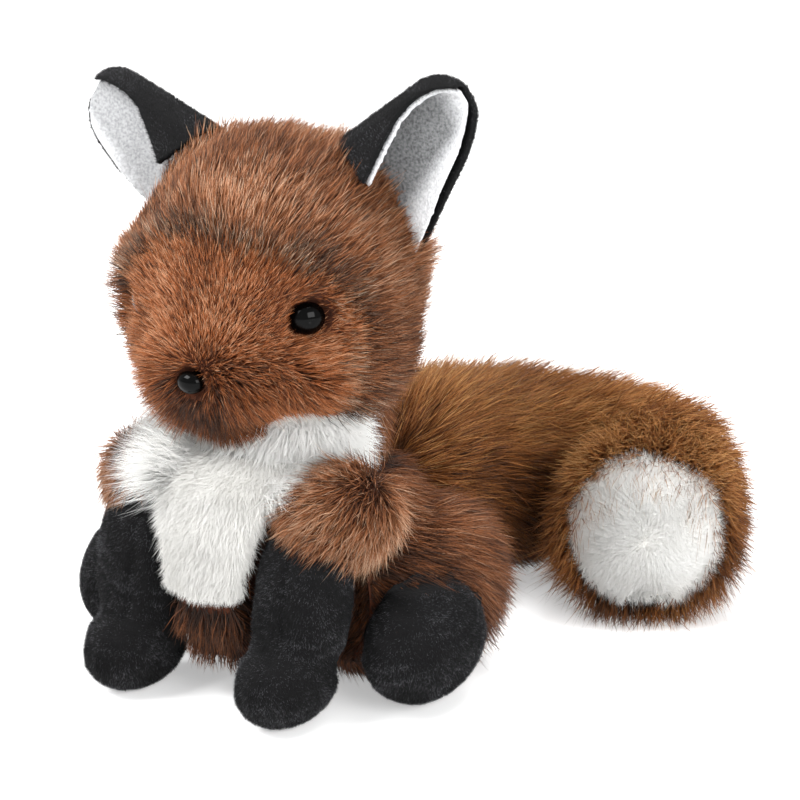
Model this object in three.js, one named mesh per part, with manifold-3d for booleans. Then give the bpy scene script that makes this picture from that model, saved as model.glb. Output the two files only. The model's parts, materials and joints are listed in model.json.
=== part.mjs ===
// A seated fox finger puppet in long-pile plush: sewn covers over stuffing, with a finger
// channel that runs up from the base, through the neck and into the head.
// Millimetres, +Z up. The fox faces -Y and its left side is +X. The finished group stands on
// Z = 0 with the origin at the centre of its footprint.
import * as THREE from "three";
import { mergeVertices } from "three/addons/utils/BufferGeometryUtils.js";
import Module from "manifold-3d";

const wasm = await Module();
wasm.setup();

// Sewing and clearances
const SEAM_GAP = 0.3; // between two pieces that are sewn or seated together
const ROLL_GAP = 0.8; // round a ball or a shoulder that rolls in its socket
const COVER_WALL = 4; // plush backing and its long pile
const PLUSH_WALL = 2; // short pile on legs and feet
const SOLE_CUT = 0.5; // how much of a rounded underside is pressed flat by the floor

// Torso, measured over the pile
const BASE_WIDTH = 54;
const BASE_DEPTH = 46;
const RUMP_SETBACK = 11.5; // how far the middle of the base lies behind the muzzle's side
const BASE_RISE = 8; // the belly clears the floor between the haunches
const BELLY_WIDTH = 60;
const BELLY_DEPTH = 58;
const BELLY_HEIGHT = 18;
const BELLY_SETBACK = 3.5;
const CHEST_WIDTH = 51;
const CHEST_DEPTH = 60;
const CHEST_HEIGHT = 36;
const CHEST_SETBACK = 4;

// Haunches
const HAUNCH_SPREAD = 40;
const HAUNCH_WIDTH = 36;
const HAUNCH_LENGTH = 50;
const HAUNCH_HEIGHT = 37;
const HAUNCH_SETBACK = 14;

// Finger channel
const FINGER_BORE = 18;
const LINING_WALL = 1;
const HEM_WIDTH = 2;
const HEM_HEIGHT = 3;
const POCKET_DEPTH = 18; // how far a fingertip goes into the head

// Neck ball, the ruff that the head turns and nods on
const NECK_HEIGHT = 51;
const NECK_SETBACK = 6;
const RUFF_DIAMETER = 36;

// White chest panel
const BIB_WIDTH = 38;
const BIB_BOTTOM = 23;
const BIB_ROUND = 13; // height of its rounded lower edge

// Head, measured from the neck centre
const HEAD_RISE = 29;
const HEAD_WIDTH = 60;
const HEAD_DEPTH = 56;
const HEAD_HEIGHT = 58;
const HEAD_FORWARD = 3;
const HEAD_TILT = 4; // degrees towards the fox's right
const CHEEK_SPREAD = 32;
const CHEEK_WIDTH = 27;
const CHEEK_HEIGHT = 34;
const CHEEK_DROP = 9;
const MUZZLE_REACH = 28.5;
const MUZZLE_DROP = 18;
const MUZZLE_WIDTH = 27;
const MUZZLE_HEIGHT = 28;
const FACE_WIDTH = 55;
const FACE_HEIGHT = 57;
const FACE_DROP = 8;

// Eyes and nose, moulded with a shank and held by a washer
const EYE_DIAMETER = 6.5;
const EYE_AZIMUTH = 50; // degrees from straight ahead
const EYE_ELEVATION = -6;
const SOCKET_RADIUS = 14; // hollow between the snout and the cheek, where the eye lies
const SOCKET_DEPTH = 3.2;
const BUTTON_SINK = 2.2; // depth that an eye or the nose nestles into the pile
const NOSE_WIDTH = 6;
const NOSE_HEIGHT = 4.5;
const NOSE_DIP = 26; // degrees below the horizon, seen from the centre of the head
const SHANK_DIAMETER = 2.2;
const SHANK_LENGTH = 8;
const WASHER_DIAMETER = 8;
const WASHER_THICKNESS = 1;

// Ears
const EAR_LENGTH = 27;
const EAR_BASE_WIDTH = 23;
const EAR_TOP_WIDTH = 10.5; // where the sides would meet the level of the tip
const EAR_CUP = 3;
const EAR_FOLD_RADIUS = 2.4; // inner edge, turned forward
const EAR_FOLD_RADIUS_TOP = 1.6;
const EAR_FOLD_ANGLE = 155;
const EAR_FLAP = 9.5; // width of the turned edge at the seam
const EAR_FLAP_TOP = 1.2; // and near the tip
const EAR_BACK_THICKNESS = 1.6;
const EAR_LINING_THICKNESS = 1;
const EAR_RIM = 0.6; // black edge that shows round the lining
const EAR_ASIDE = 5; // degrees that both ears fall to the right at rest
const EAR_LEAN = 11.5; // degrees that the ear leans in from its seam
const EAR_SPLAY = 58; // degrees of the seam's middle from the top of the head
const EAR_SETBACK = 14; // degrees of the seam's middle behind the top of the head
const EAR_SEAT = 0.9; // room for the ear to fold over its seam

// Forelegs
const SHOULDER_SPREAD = 48;
const SHOULDER_HEIGHT = 40;
const SHOULDER_FORWARD = 9;
const SLEEVE_DIAMETER = 19.5;
const SLEEVE_REACH = 5.5;
const ELBOW_DROP = 45; // degrees below the horizon that the sleeve points
const FORELEG_DIAMETER = 19;
const FORELEG_SPREAD = 36;
const PAW_WIDTH = 21;
const PAW_HEIGHT = 18;
const PAW_LENGTH = 28;
const PAW_FORWARD = 21.5;

// Hind feet
const FOOT_SPREAD = 66;
const FOOT_WIDTH = 23;
const FOOT_HEIGHT = 29;
const FOOT_LENGTH = 36;
const FOOT_SETBACK = 2;

// Tail
const TAIL_DIAMETER = 41;
const TAIL_ROOT_DIAMETER = 34;
const TAIL_ROOT_HEIGHT = 29;
const TAIL_RUN = 45; // from the root to the far side of the hook
const TAIL_HOOK_RADIUS = 19.5;
const TAIL_HOOK_SHARE = 0.87; // how much thinner the tail is round the hook
const TAIL_END_LENGTH = 19; // straight end after the hook
const TAIL_END_TURN = 30; // degrees that the end points outward
const TAIL_TIP_LENGTH = 6.5; // white part of the end

// Working angle that the chest leaves room for, in degrees
const ARM_LIFT = 35;

const X_AXIS = new THREE.Vector3(1, 0, 0);
const Z_AXIS = new THREE.Vector3(0, 0, 1);
const SIDES = [["left", 1], ["right", -1]];
const FAR = 400; // longer than anything here, for cutting tools
const INNER_DETAIL = 0.65; // linings and stuffing are drawn with fewer facets than covers

const vec = (x, y, z) => new THREE.Vector3(x, y, z);
const rad = THREE.MathUtils.degToRad;
const facets = (count, grow) => Math.round(count * (grow < 0 ? INNER_DETAIL : 1));

// Solids and geometry

function solidOf(geometry) {
  const bare = new THREE.BufferGeometry();
  bare.setAttribute("position", geometry.getAttribute("position"));
  bare.setIndex(geometry.index);
  const merged = mergeVertices(bare);
  const vertProperties = merged.attributes.position.array;
  const triVerts = new Uint32Array(merged.index.array);
  return new wasm.Manifold(new wasm.Mesh({ numProp: 3, vertProperties, triVerts }));
}

function geometryOf(solid) {
  const mesh = solid.getMesh();
  const geometry = new THREE.BufferGeometry();
  geometry.setAttribute("position", new THREE.BufferAttribute(mesh.vertProperties, 3));
  geometry.setIndex(new THREE.BufferAttribute(mesh.triVerts, 1));
  geometry.computeVertexNormals();
  return geometry;
}

const union = (...solids) => solids.reduce((all, next) => all.add(next));
const cut = (solid, ...tools) => tools.reduce((left, tool) => left.subtract(tool), solid);

// The largest body of a cut, without the crumbs that a cutting tool leaves at its edges
function mainBody(solid) {
  return solid.decompose().reduce((best, next) => (next.volume() > best.volume() ? next : best));
}

function placedSolid(geometry, position, direction = Z_AXIS) {
  const turn = new THREE.Quaternion().setFromUnitVectors(Z_AXIS, direction);
  return solidOf(geometry.applyQuaternion(turn).translate(position.x, position.y, position.z));
}

function ellipsoid(centre, [width, length, height], grow = 0, around = 20, along = 12) {
  const ball = new THREE.SphereGeometry(1, facets(around, grow), facets(along, grow)).rotateX(Math.PI / 2);
  ball.scale(width / 2 + grow, length / 2 + grow, height / 2 + grow);
  return placedSolid(ball, centre);
}

// A cylinder that starts at a point and runs along a direction
function rod(start, direction, diameter, length, around = 16) {
  const cylinder = new THREE.CylinderGeometry(diameter / 2, diameter / 2, length, around);
  cylinder.rotateX(Math.PI / 2).translate(0, 0, length / 2);
  return placedSolid(cylinder, start, direction);
}

// A lathe about Z from [radius, height] points
function turned(profile, around) {
  const points = profile.map(([radius, height]) => new THREE.Vector2(radius, height));
  return new THREE.LatheGeometry(points, around).rotateX(Math.PI / 2);
}

// Everything on one side of a plane, as a block
function halfSpace(point, direction) {
  const block = new THREE.BoxGeometry(FAR, FAR, FAR).translate(0, 0, FAR / 2);
  return placedSolid(block, point, direction);
}

// Stands a form on the floor; an inward offset stands higher by as much
function onFloor(solid, grow) {
  const floor = Math.max(0, -grow);
  return cut(solid, halfSpace(vec(0, 0, floor), vec(0, 0, -1)));
}

// A stuffed form: elliptical rings strung along a spine and drawn in round at both ends.
// girths gives the full width and height at each point of the spine, and grow is an offset.
function stuffed({ spine, girths, capStart, capEnd, across = X_AXIS, facetsAround, facetsAlong }, grow) {
  const around = facets(facetsAround, grow);
  const along = facets(facetsAlong, grow);
  const line = new THREE.CatmullRomCurve3(spine);
  const stretched = spine.map((point) => point.clone());
  stretched[0].addScaledVector(line.getTangent(0), -grow);
  stretched[spine.length - 1].addScaledVector(line.getTangent(1), grow);
  const path = new THREE.CatmullRomCurve3(stretched);
  const girth = new THREE.CatmullRomCurve3(girths.map(([w, h]) => vec(w / 2 + grow, h / 2 + grow, 0)));
  const rounded = (t, cap) => (t >= cap ? 1 : Math.sqrt(1 - (1 - t / cap) ** 2));
  const places = [path.getPoint(0)];
  for (let i = 1; i < along; i += 1) {
    const t = (1 - Math.cos((Math.PI * i) / along)) / 2;
    const centre = path.getPoint(t);
    const tangent = path.getTangent(t);
    const side = across.clone().addScaledVector(tangent, -across.dot(tangent)).normalize();
    const up = tangent.clone().cross(side);
    const size = girth.getPoint(t).multiplyScalar(rounded(t, capStart) * rounded(1 - t, capEnd));
    for (let j = 0; j < around; j += 1) {
      const angle = (2 * Math.PI * j) / around;
      const place = centre.clone().addScaledVector(side, size.x * Math.cos(angle));
      places.push(place.addScaledVector(up, size.y * Math.sin(angle)));
    }
  }
  places.push(path.getPoint(1));
  const last = places.length - 1;
  const ring = (i, j) => 1 + i * around + (j % around);
  const faces = [];
  for (let j = 0; j < around; j += 1) {
    faces.push(0, ring(0, j + 1), ring(0, j));
    faces.push(last, ring(along - 2, j), ring(along - 2, j + 1));
    for (let i = 0; i < along - 2; i += 1) {
      faces.push(ring(i, j), ring(i, j + 1), ring(i + 1, j + 1));
      faces.push(ring(i, j), ring(i + 1, j + 1), ring(i + 1, j));
    }
  }
  const geometry = new THREE.BufferGeometry().setFromPoints(places);
  geometry.setIndex(faces);
  return solidOf(geometry);
}

// Where a ray from inside a form leaves its surface
function surfacePoint(solid, from, direction) {
  const material = new THREE.MeshBasicMaterial({ side: THREE.DoubleSide });
  const mesh = new THREE.Mesh(geometryOf(solid), material);
  const hits = new THREE.Raycaster(from, direction.clone().normalize()).intersectObject(mesh);
  return hits[hits.length - 1].point;
}

// Scene graph

const looks = {
  redFur: { color: 0x8a3d18, roughness: 0.85 },
  whiteFur: { color: 0xf2f0ea, roughness: 0.9 },
  blackPlush: { color: 0x1a1a1c, roughness: 0.8 },
  whiteVelour: { color: 0xdcdddd, roughness: 0.9 },
  lining: { color: 0x3a2a22, roughness: 0.8 },
  stuffing: { color: 0xf7f7f5, roughness: 1 },
  glossBlack: { color: 0x0a0a0c, roughness: 0.08 },
  washer: { color: 0xe8e8e4, roughness: 0.4 },
};

function addPiece(group, name, solid, look) {
  const offset = group.userData.pivot ?? vec(0, 0, 0);
  const geometry = geometryOf(mainBody(solid)).translate(-offset.x, -offset.y, -offset.z);
  const material = new THREE.MeshStandardMaterial({ ...looks[look], metalness: 0 });
  const mesh = new THREE.Mesh(geometry, material);
  mesh.name = name;
  group.add(mesh);
}

// A group that moves about its own origin; its pieces are modelled in the parent's frame
function jointedGroup(parent, name, pivot) {
  const group = new THREE.Group();
  group.name = name;
  group.position.copy(pivot);
  group.userData.pivot = pivot;
  parent.add(group);
  return group;
}

const fox = new THREE.Group();
const neckCentre = vec(0, NECK_SETBACK, NECK_HEIGHT);
const liningDiameter = FINGER_BORE + 2 * LINING_WALL;
const hemDiameter = liningDiameter + 2 * HEM_WIDTH;

const channel = (diameter, bottom = -FAR / 2, height = FAR) =>
  rod(vec(0, NECK_SETBACK, bottom), Z_AXIS, diameter, height, 18);
const neckBall = (grow) => ellipsoid(neckCentre, Array(3).fill(RUFF_DIAMETER), grow, 18, 10);

// Body form: a pear that leans forward over its base, with a haunch on each side

function torsoForm(grow) {
  const spine = [
    vec(0, RUMP_SETBACK, -BELLY_HEIGHT),
    vec(0, RUMP_SETBACK, 0),
    vec(0, BELLY_SETBACK, BELLY_HEIGHT),
    vec(0, CHEST_SETBACK, CHEST_HEIGHT),
    neckCentre,
  ];
  const girths = [
    [BASE_WIDTH * 0.6, BASE_DEPTH * 0.6],
    [BASE_WIDTH, BASE_DEPTH],
    [BELLY_WIDTH, BELLY_DEPTH],
    [CHEST_WIDTH, CHEST_DEPTH],
    [RUFF_DIAMETER, RUFF_DIAMETER],
  ];
  return stuffed({ spine, girths, capStart: 0.1, capEnd: 0.16, facetsAround: 20, facetsAlong: 11 }, grow);
}

function haunchForm(side, grow) {
  const centre = vec((side * HAUNCH_SPREAD) / 2, HAUNCH_SETBACK, HAUNCH_HEIGHT / 2 - SOLE_CUT);
  return ellipsoid(centre, [HAUNCH_WIDTH, HAUNCH_LENGTH, HAUNCH_HEIGHT], grow, 14, 8);
}

function bodyForm(grow) {
  const belly = torsoForm(grow).translate([0, 0, -BASE_RISE]);
  const raised = onFloor(belly, grow).translate([0, 0, BASE_RISE]);
  const haunches = SIDES.map(([, side]) => haunchForm(side, grow));
  return onFloor(union(raised, ...haunches), grow);
}

// Foreleg forms, in the rest pose with the paw on the floor

const shoulder = (side) => vec((side * SHOULDER_SPREAD) / 2, -SHOULDER_FORWARD, SHOULDER_HEIGHT);
const pawCentre = (side) => vec((side * FORELEG_SPREAD) / 2, -PAW_FORWARD, PAW_HEIGHT / 2 - SOLE_CUT);
const elbow = (side) => {
  const inward = side * ((FORELEG_SPREAD - SHOULDER_SPREAD) / 2);
  const forward = SLEEVE_REACH * Math.cos(rad(ELBOW_DROP));
  return shoulder(side).add(vec(inward * 0.8, -forward, -SLEEVE_REACH * Math.sin(rad(ELBOW_DROP))));
};

// A capsule about the shoulder, so that its top can roll in the chest
function sleeveForm(side, grow) {
  const top = shoulder(side);
  const down = elbow(side).sub(top).normalize();
  const start = top.clone().addScaledVector(down, -SLEEVE_DIAMETER / 2);
  const end = elbow(side).addScaledVector(down, SLEEVE_DIAMETER / 4);
  const length = start.distanceTo(end);
  const shape = {
    spine: [start, end],
    girths: [[SLEEVE_DIAMETER, SLEEVE_DIAMETER], [SLEEVE_DIAMETER, SLEEVE_DIAMETER]],
    capStart: SLEEVE_DIAMETER / 2 / length,
    capEnd: SLEEVE_DIAMETER / 4 / length,
    facetsAround: 12,
    facetsAlong: 8,
  };
  return stuffed(shape, grow);
}

function forelegForm(side, grow) {
  const paw = pawCentre(side);
  const top = elbow(side).add(vec(0, 0, FORELEG_DIAMETER / 4));
  const ankle = paw.clone().add(vec(0, PAW_LENGTH / 5, 0));
  const leg = {
    spine: [top, top.clone().lerp(ankle, 0.5), ankle],
    girths: [0.9, 1, 1.06].map((share) => [FORELEG_DIAMETER * share, FORELEG_DIAMETER * share]),
    capStart: 0.25,
    capEnd: 0.3,
    facetsAround: 12,
    facetsAlong: 7,
  };
  const foot = ellipsoid(paw, [PAW_WIDTH, PAW_LENGTH, PAW_HEIGHT], grow, 12, 7);
  return onFloor(union(stuffed(leg, grow), foot), grow);
}

// Room for an arm at rest and on its way up to the highest lift
function armRoom(side, grow) {
  const pivot = shoulder(side);
  const arm = union(sleeveForm(side, grow), forelegForm(side, grow));
  const atPivot = arm.translate([-pivot.x, -pivot.y, -pivot.z]);
  const lifted = [0.25, 0.5, 0.75, 1].map((share) => atPivot.rotate([-share * ARM_LIFT, 0, 0]));
  const sweep = lifted.map((solid) => solid.translate([pivot.x, pivot.y, pivot.z]));
  return union(arm, ...sweep);
}

// Hind foot form

function footForm(side, grow) {
  const middle = vec((side * FOOT_SPREAD) / 2, FOOT_SETBACK, FOOT_HEIGHT / 2 - SOLE_CUT);
  const heel = middle.clone().add(vec(0, FOOT_LENGTH / 2, 0));
  const toe = middle.clone().add(vec(0, -FOOT_LENGTH / 2, -FOOT_HEIGHT / 16));
  const girths = [
    [FOOT_WIDTH * 0.85, FOOT_HEIGHT * 0.8],
    [FOOT_WIDTH, FOOT_HEIGHT],
    [FOOT_WIDTH * 0.95, FOOT_HEIGHT * 0.88],
  ];
  const spine = [heel, middle, toe];
  const shape = { spine, girths, capStart: 0.4, capEnd: 0.45, facetsAround: 14, facetsAlong: 8 };
  return onFloor(stuffed(shape, grow), grow);
}

// Body pieces

// The outline of the chest panel, pushed through the front of the body
function bibTool(grow) {
  const half = BIB_WIDTH / 2 + grow;
  const outline = new THREE.Shape();
  outline.moveTo(half, FAR);
  outline.lineTo(-half, FAR);
  outline.lineTo(-half, BIB_BOTTOM + BIB_ROUND);
  outline.absellipse(0, BIB_BOTTOM + BIB_ROUND, half, BIB_ROUND + grow, Math.PI, 2 * Math.PI);
  const prism = new THREE.ExtrudeGeometry(outline, { depth: FAR, bevelEnabled: false, curveSegments: 6 });
  return solidOf(prism.rotateX(Math.PI / 2));
}

function buildBody() {
  const rooms = SIDES.map(([, side]) => armRoom(side, ROLL_GAP));
  const shell = cut(bodyForm(0), bodyForm(-COVER_WALL), neckBall(ROLL_GAP), ...rooms);
  const hemRoom = channel(hemDiameter + 2 * SEAM_GAP, -FAR / 2, FAR / 2 + BASE_RISE + HEM_HEIGHT * 2);
  addPiece(fox, "body_cover", cut(shell, bibTool(SEAM_GAP), hemRoom), "redFur");
  addPiece(fox, "chest_bib", shell.intersect(bibTool(0)), "whiteFur");

  const edge = hemDiameter / 2 - HEM_WIDTH / 3;
  const hem = [
    [FINGER_BORE / 2, SEAM_GAP],
    [edge, SEAM_GAP],
    [hemDiameter / 2, HEM_HEIGHT / 2],
    [edge, HEM_HEIGHT],
    [FINGER_BORE / 2, HEM_HEIGHT],
    [FINGER_BORE / 2, SEAM_GAP],
  ];
  addPiece(fox, "opening_hem", placedSolid(turned(hem, 18), vec(0, NECK_SETBACK, BASE_RISE)), "lining");

  const hemTop = BASE_RISE + HEM_HEIGHT;
  const sleeve = channel(liningDiameter, hemTop + SEAM_GAP, NECK_HEIGHT - hemTop);
  addPiece(fox, "finger_sleeve", cut(sleeve, channel(FINGER_BORE), neckBall(ROLL_GAP)), "lining");

  const sleeveRoom = channel(liningDiameter + 2 * SEAM_GAP);
  const filling = bodyForm(-COVER_WALL - SEAM_GAP);
  const stuffing = cut(filling, sleeveRoom, hemRoom, neckBall(ROLL_GAP), ...rooms);
  addPiece(fox, "body_stuffing", stuffing, "stuffing");
}

function buildHindFeet() {
  const outside = bodyForm(SEAM_GAP);
  for (const [word, side] of SIDES) {
    const leg = forelegForm(side, SEAM_GAP);
    const skin = cut(footForm(side, 0), footForm(side, -PLUSH_WALL), outside, leg);
    addPiece(fox, `${word}_hind_foot`, skin, "blackPlush");
    const fill = cut(footForm(side, -PLUSH_WALL - SEAM_GAP), outside, leg);
    addPiece(fox, `${word}_hind_foot_stuffing`, fill, "stuffing");
  }
}

// Neck: a ball in two sewn halves, bored for the finger, that the head nods on

function buildNeck() {
  const neck = jointedGroup(fox, "neck", neckCentre);
  const ball = cut(neckBall(0), channel(FINGER_BORE));
  const behind = (gap) => halfSpace(vec(0, NECK_SETBACK + gap, 0), vec(0, 1, 0));
  addPiece(neck, "throat_ruff", cut(ball, behind(-SEAM_GAP / 2)), "whiteFur");
  addPiece(neck, "nape_ruff", ball.intersect(behind(SEAM_GAP / 2)), "redFur");
  return neck;
}

// Head forms, in the head's own frame with the neck centre at the origin

const headCentre = vec(0, -HEAD_FORWARD, HEAD_RISE);

function muzzleForm(grow) {
  const root = headCentre.clone().add(vec(0, -MUZZLE_REACH / 6, -MUZZLE_DROP / 3));
  const end = headCentre.clone().add(vec(0, -MUZZLE_REACH, -MUZZLE_DROP));
  const girths = [
    [MUZZLE_WIDTH * 1.5, MUZZLE_HEIGHT * 1.45],
    [MUZZLE_WIDTH * 1.3, MUZZLE_HEIGHT * 1.25],
    [MUZZLE_WIDTH, MUZZLE_HEIGHT],
  ];
  const spine = [root, root.clone().lerp(end, 0.5), end];
  return stuffed({ spine, girths, capStart: 0.2, capEnd: 0.45, facetsAround: 16, facetsAlong: 8 }, grow);
}

// A direction from the middle of the head, in degrees from straight ahead and above the horizon
function facing(azimuth, elevation) {
  const level = Math.cos(rad(elevation));
  return vec(Math.sin(rad(azimuth)) * level, -Math.cos(rad(azimuth)) * level, Math.sin(rad(elevation)));
}

function headForm(grow) {
  const size = [HEAD_WIDTH, HEAD_DEPTH, HEAD_HEIGHT];
  const skull = ellipsoid(headCentre, size, grow, 20, 11);
  const cheeks = SIDES.map(([, side]) => {
    const centre = headCentre.clone().add(vec((side * CHEEK_SPREAD) / 2, -CHEEK_DROP / 3, -CHEEK_DROP));
    return ellipsoid(centre, [CHEEK_WIDTH, HEAD_DEPTH * 0.75, CHEEK_HEIGHT], grow, 12, 7);
  });
  const sockets = SIDES.map(([, side]) => {
    const out = facing(side * EYE_AZIMUTH, EYE_ELEVATION);
    const reach = 0.5 / Math.hypot(out.x / size[0], out.y / size[1], out.z / size[2]);
    const centre = headCentre.clone().addScaledVector(out, reach + SOCKET_RADIUS - SOCKET_DEPTH);
    return ellipsoid(centre, Array(3).fill(2 * SOCKET_RADIUS), -grow, 12, 7);
  });
  return union(cut(union(skull, ...cheeks), ...sockets), muzzleForm(grow));
}

// Eye and nose: a polished dome on a ribbed shank, turned about Z with its back face at Z = 0
function buttonGeometry(diameter) {
  const radius = diameter / 2;
  const shank = SHANK_DIAMETER / 2;
  const rib = SHANK_LENGTH * 0.06;
  const ribs = [0.85, 0.5].flatMap((share) => {
    const depth = -SHANK_LENGTH * share;
    return [[shank, depth], [shank + rib / 2, depth + rib], [shank, depth + 2 * rib]];
  });
  const dome = [0, 22, 45, 68].map((degrees) => {
    const angle = rad(degrees);
    return [radius * Math.cos(angle), radius * (0.2 + 0.75 * Math.sin(angle))];
  });
  const tip = [0, -SHANK_LENGTH];
  const crown = [0, radius * 0.95];
  return turned([tip, [shank * 0.6, -SHANK_LENGTH], ...ribs, [shank, 0], [radius, 0], ...dome, crown], 12);
}

// The three buttons of the face, each with its seat in the pile and the inside of the cover behind it
function faceButtons() {
  const form = headForm(0);
  const eyes = SIDES.map(([word, side]) => {
    const direction = facing(side * EYE_AZIMUTH, EYE_ELEVATION);
    return { name: `${word}_eye`, direction, width: EYE_DIAMETER, height: EYE_DIAMETER };
  });
  const nose = { name: "nose", direction: facing(0, -NOSE_DIP), width: NOSE_WIDTH, height: NOSE_HEIGHT };
  return [...eyes, nose].map((button) => {
    const surface = surfacePoint(form, headCentre, button.direction);
    const seat = surface.clone().addScaledVector(button.direction, -BUTTON_SINK);
    const inside = surface.clone().addScaledVector(button.direction, -COVER_WALL - SEAM_GAP);
    return { ...button, seat, inside, inward: button.direction.clone().negate() };
  });
}

// The outline of the short-pile face, pushed through the front of the head
function faceTool(grow) {
  const oval = new THREE.Shape();
  oval.absellipse(0, HEAD_RISE - FACE_DROP, FACE_WIDTH / 2 + grow, FACE_HEIGHT / 2 + grow, 0, 2 * Math.PI);
  const prism = new THREE.ExtrudeGeometry(oval, { depth: FAR, bevelEnabled: false, curveSegments: 8 });
  return solidOf(prism.rotateX(Math.PI / 2).translate(0, -HEAD_FORWARD - HEAD_DEPTH / 12, 0));
}

function buildHead(neck) {
  const head = new THREE.Group();
  head.name = "head";
  head.rotation.y = rad(-HEAD_TILT);
  neck.add(head);

  const buttons = faceButtons();
  const shankRoom = SHANK_DIAMETER * 1.5 + 2 * SEAM_GAP;
  const wells = buttons.map(({ seat, direction, inward, width }) => {
    const floor = seat.clone().addScaledVector(inward, SEAM_GAP);
    const well = rod(floor, direction, width + 2 * SEAM_GAP, FAR / 8, 12);
    return union(well, rod(seat, inward, shankRoom, SHANK_LENGTH + SEAM_GAP, 8));
  });
  const washerRooms = buttons.map(({ inside, direction, inward }) => {
    const start = inside.clone().addScaledVector(direction, SEAM_GAP);
    return rod(start, inward, WASHER_DIAMETER + 2 * SEAM_GAP, WASHER_THICKNESS + COVER_WALL, 12);
  });
  const socket = ellipsoid(vec(0, 0, 0), Array(3).fill(RUFF_DIAMETER), ROLL_GAP, 18, 10);
  const shell = cut(headForm(0), headForm(-COVER_WALL), socket, ...wells, ...washerRooms);
  addPiece(head, "head_cover", cut(shell, faceTool(SEAM_GAP)), "redFur");
  addPiece(head, "face_panel", shell.intersect(faceTool(0)), "redFur");

  const pocketTop = RUFF_DIAMETER / 2 + ROLL_GAP + POCKET_DEPTH;
  const pocket = rod(vec(0, 0, 0), Z_AXIS, liningDiameter, pocketTop + LINING_WALL, 18);
  const fingertip = rod(vec(0, 0, 0), Z_AXIS, FINGER_BORE, pocketTop, 18);
  addPiece(head, "fingertip_pocket", cut(pocket, fingertip, socket), "lining");

  const roomTop = pocketTop + LINING_WALL + SEAM_GAP;
  const pocketRoom = rod(vec(0, 0, 0), Z_AXIS, liningDiameter + 2 * SEAM_GAP, roomTop, 18);
  const filling = headForm(-COVER_WALL - SEAM_GAP);
  addPiece(head, "head_stuffing", cut(filling, socket, pocketRoom, ...washerRooms, ...wells), "stuffing");

  for (const { name, seat, inside, direction, inward, width, height } of buttons) {
    const button = buttonGeometry(width).scale(1, height / width, 1);
    addPiece(head, name, placedSolid(button, seat, direction), "glossBlack");
    const plate = rod(inside, inward, WASHER_DIAMETER, WASHER_THICKNESS, 12);
    const hole = rod(inside.clone().add(direction), inward, shankRoom, WASHER_THICKNESS + 2, 8);
    addPiece(head, `${name}_washer`, cut(plate, hole), "washer");
  }
  return head;
}

// One layer of an ear: a cupped leaf standing on its seam along X, hollow towards -Y. The back
// layer is folded forward along its inner edge into a flap that narrows to the tip.
// near and far are the layer's faces, measured back from the middle surface.
function earLayer(side, near, far, rim) {
  const tipStart = 0.72;
  const flapEnd = 0.55;
  const stations = 9;
  const section = (t) => {
    const past = Math.max(0, (t - tipStart) / (1 - tipStart));
    const narrowing = Math.sqrt(1 - past ** 2.4);
    const half = (THREE.MathUtils.lerp(EAR_BASE_WIDTH, EAR_TOP_WIDTH, t) / 2) * narrowing;
    const outer = Math.max(half - rim, 0.3);
    const cup = EAR_CUP * Math.min(1, 2 * t) * narrowing;
    const line = [1, 0.5].map((u) => vec(u * outer, -cup * u ** 2, 0));
    line.push(vec(0, 0, 0), vec(-half / 2, 0, 0), vec(-half, 0, 0));
    const radius = THREE.MathUtils.lerp(EAR_FOLD_RADIUS, EAR_FOLD_RADIUS_TOP, t) * narrowing;
    for (const share of [0.33, 0.66, 1]) {
      const turn = rad(EAR_FOLD_ANGLE * share);
      line.push(vec(-half - radius * Math.sin(turn), radius * (Math.cos(turn) - 1), 0));
    }
    const flap = THREE.MathUtils.lerp(EAR_FLAP, EAR_FLAP_TOP, Math.min(1, t / flapEnd)) * narrowing;
    const open = rad(180 - EAR_FOLD_ANGLE);
    line.push(line[7].clone().add(vec(Math.cos(open), -Math.sin(open), 0).multiplyScalar(flap)));
    return line;
  };
  const places = [];
  let count = 0;
  for (let i = 0; i <= stations; i += 1) {
    const t = 0.985 * Math.sin((Math.PI / 2) * (i / stations));
    const line = section(t);
    count = line.length;
    const rise = (place) => {
      const bed = place.x ** 2 / HEAD_WIDTH + place.y * Math.tan(rad(EAR_SETBACK));
      return t * (EAR_LENGTH - rim) - (1 - t) ** 2 * bed;
    };
    const normals = line.map((_, j) => {
      const along = line[Math.min(j + 1, count - 1)].clone().sub(line[Math.max(j - 1, 0)]).normalize();
      return vec(along.y, -along.x, 0);
    });
    const lean = -Math.tan(rad(EAR_LEAN + side * EAR_ASIDE)) * t * EAR_LENGTH;
    const layer = (depth) => line.map((point, j) => {
      const place = point.clone().addScaledVector(normals[j], depth);
      return vec(side * (place.x + lean), place.y, rise(place));
    });
    places.push(...layer(near), ...layer(far).reverse());
  }
  const around = 2 * count;
  const at = (i, j) => i * around + (j % around);
  const faces = [];
  const quad = (a, b, c, d) => (side > 0 ? faces.push(a, c, b, a, d, c) : faces.push(a, b, c, a, c, d));
  for (let i = 0; i < stations; i += 1) {
    for (let j = 0; j < around; j += 1) {
      quad(at(i, j), at(i, j + 1), at(i + 1, j + 1), at(i + 1, j));
    }
  }
  for (let j = 0; j < count - 1; j += 1) {
    const opposite = around - 1 - j;
    quad(at(0, j), at(0, opposite), at(0, opposite - 1), at(0, j + 1));
    quad(at(stations, j), at(stations, j + 1), at(stations, opposite - 1), at(stations, opposite));
  }
  const geometry = new THREE.BufferGeometry().setFromPoints(places);
  geometry.setIndex(faces);
  return solidOf(geometry);
}

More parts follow.
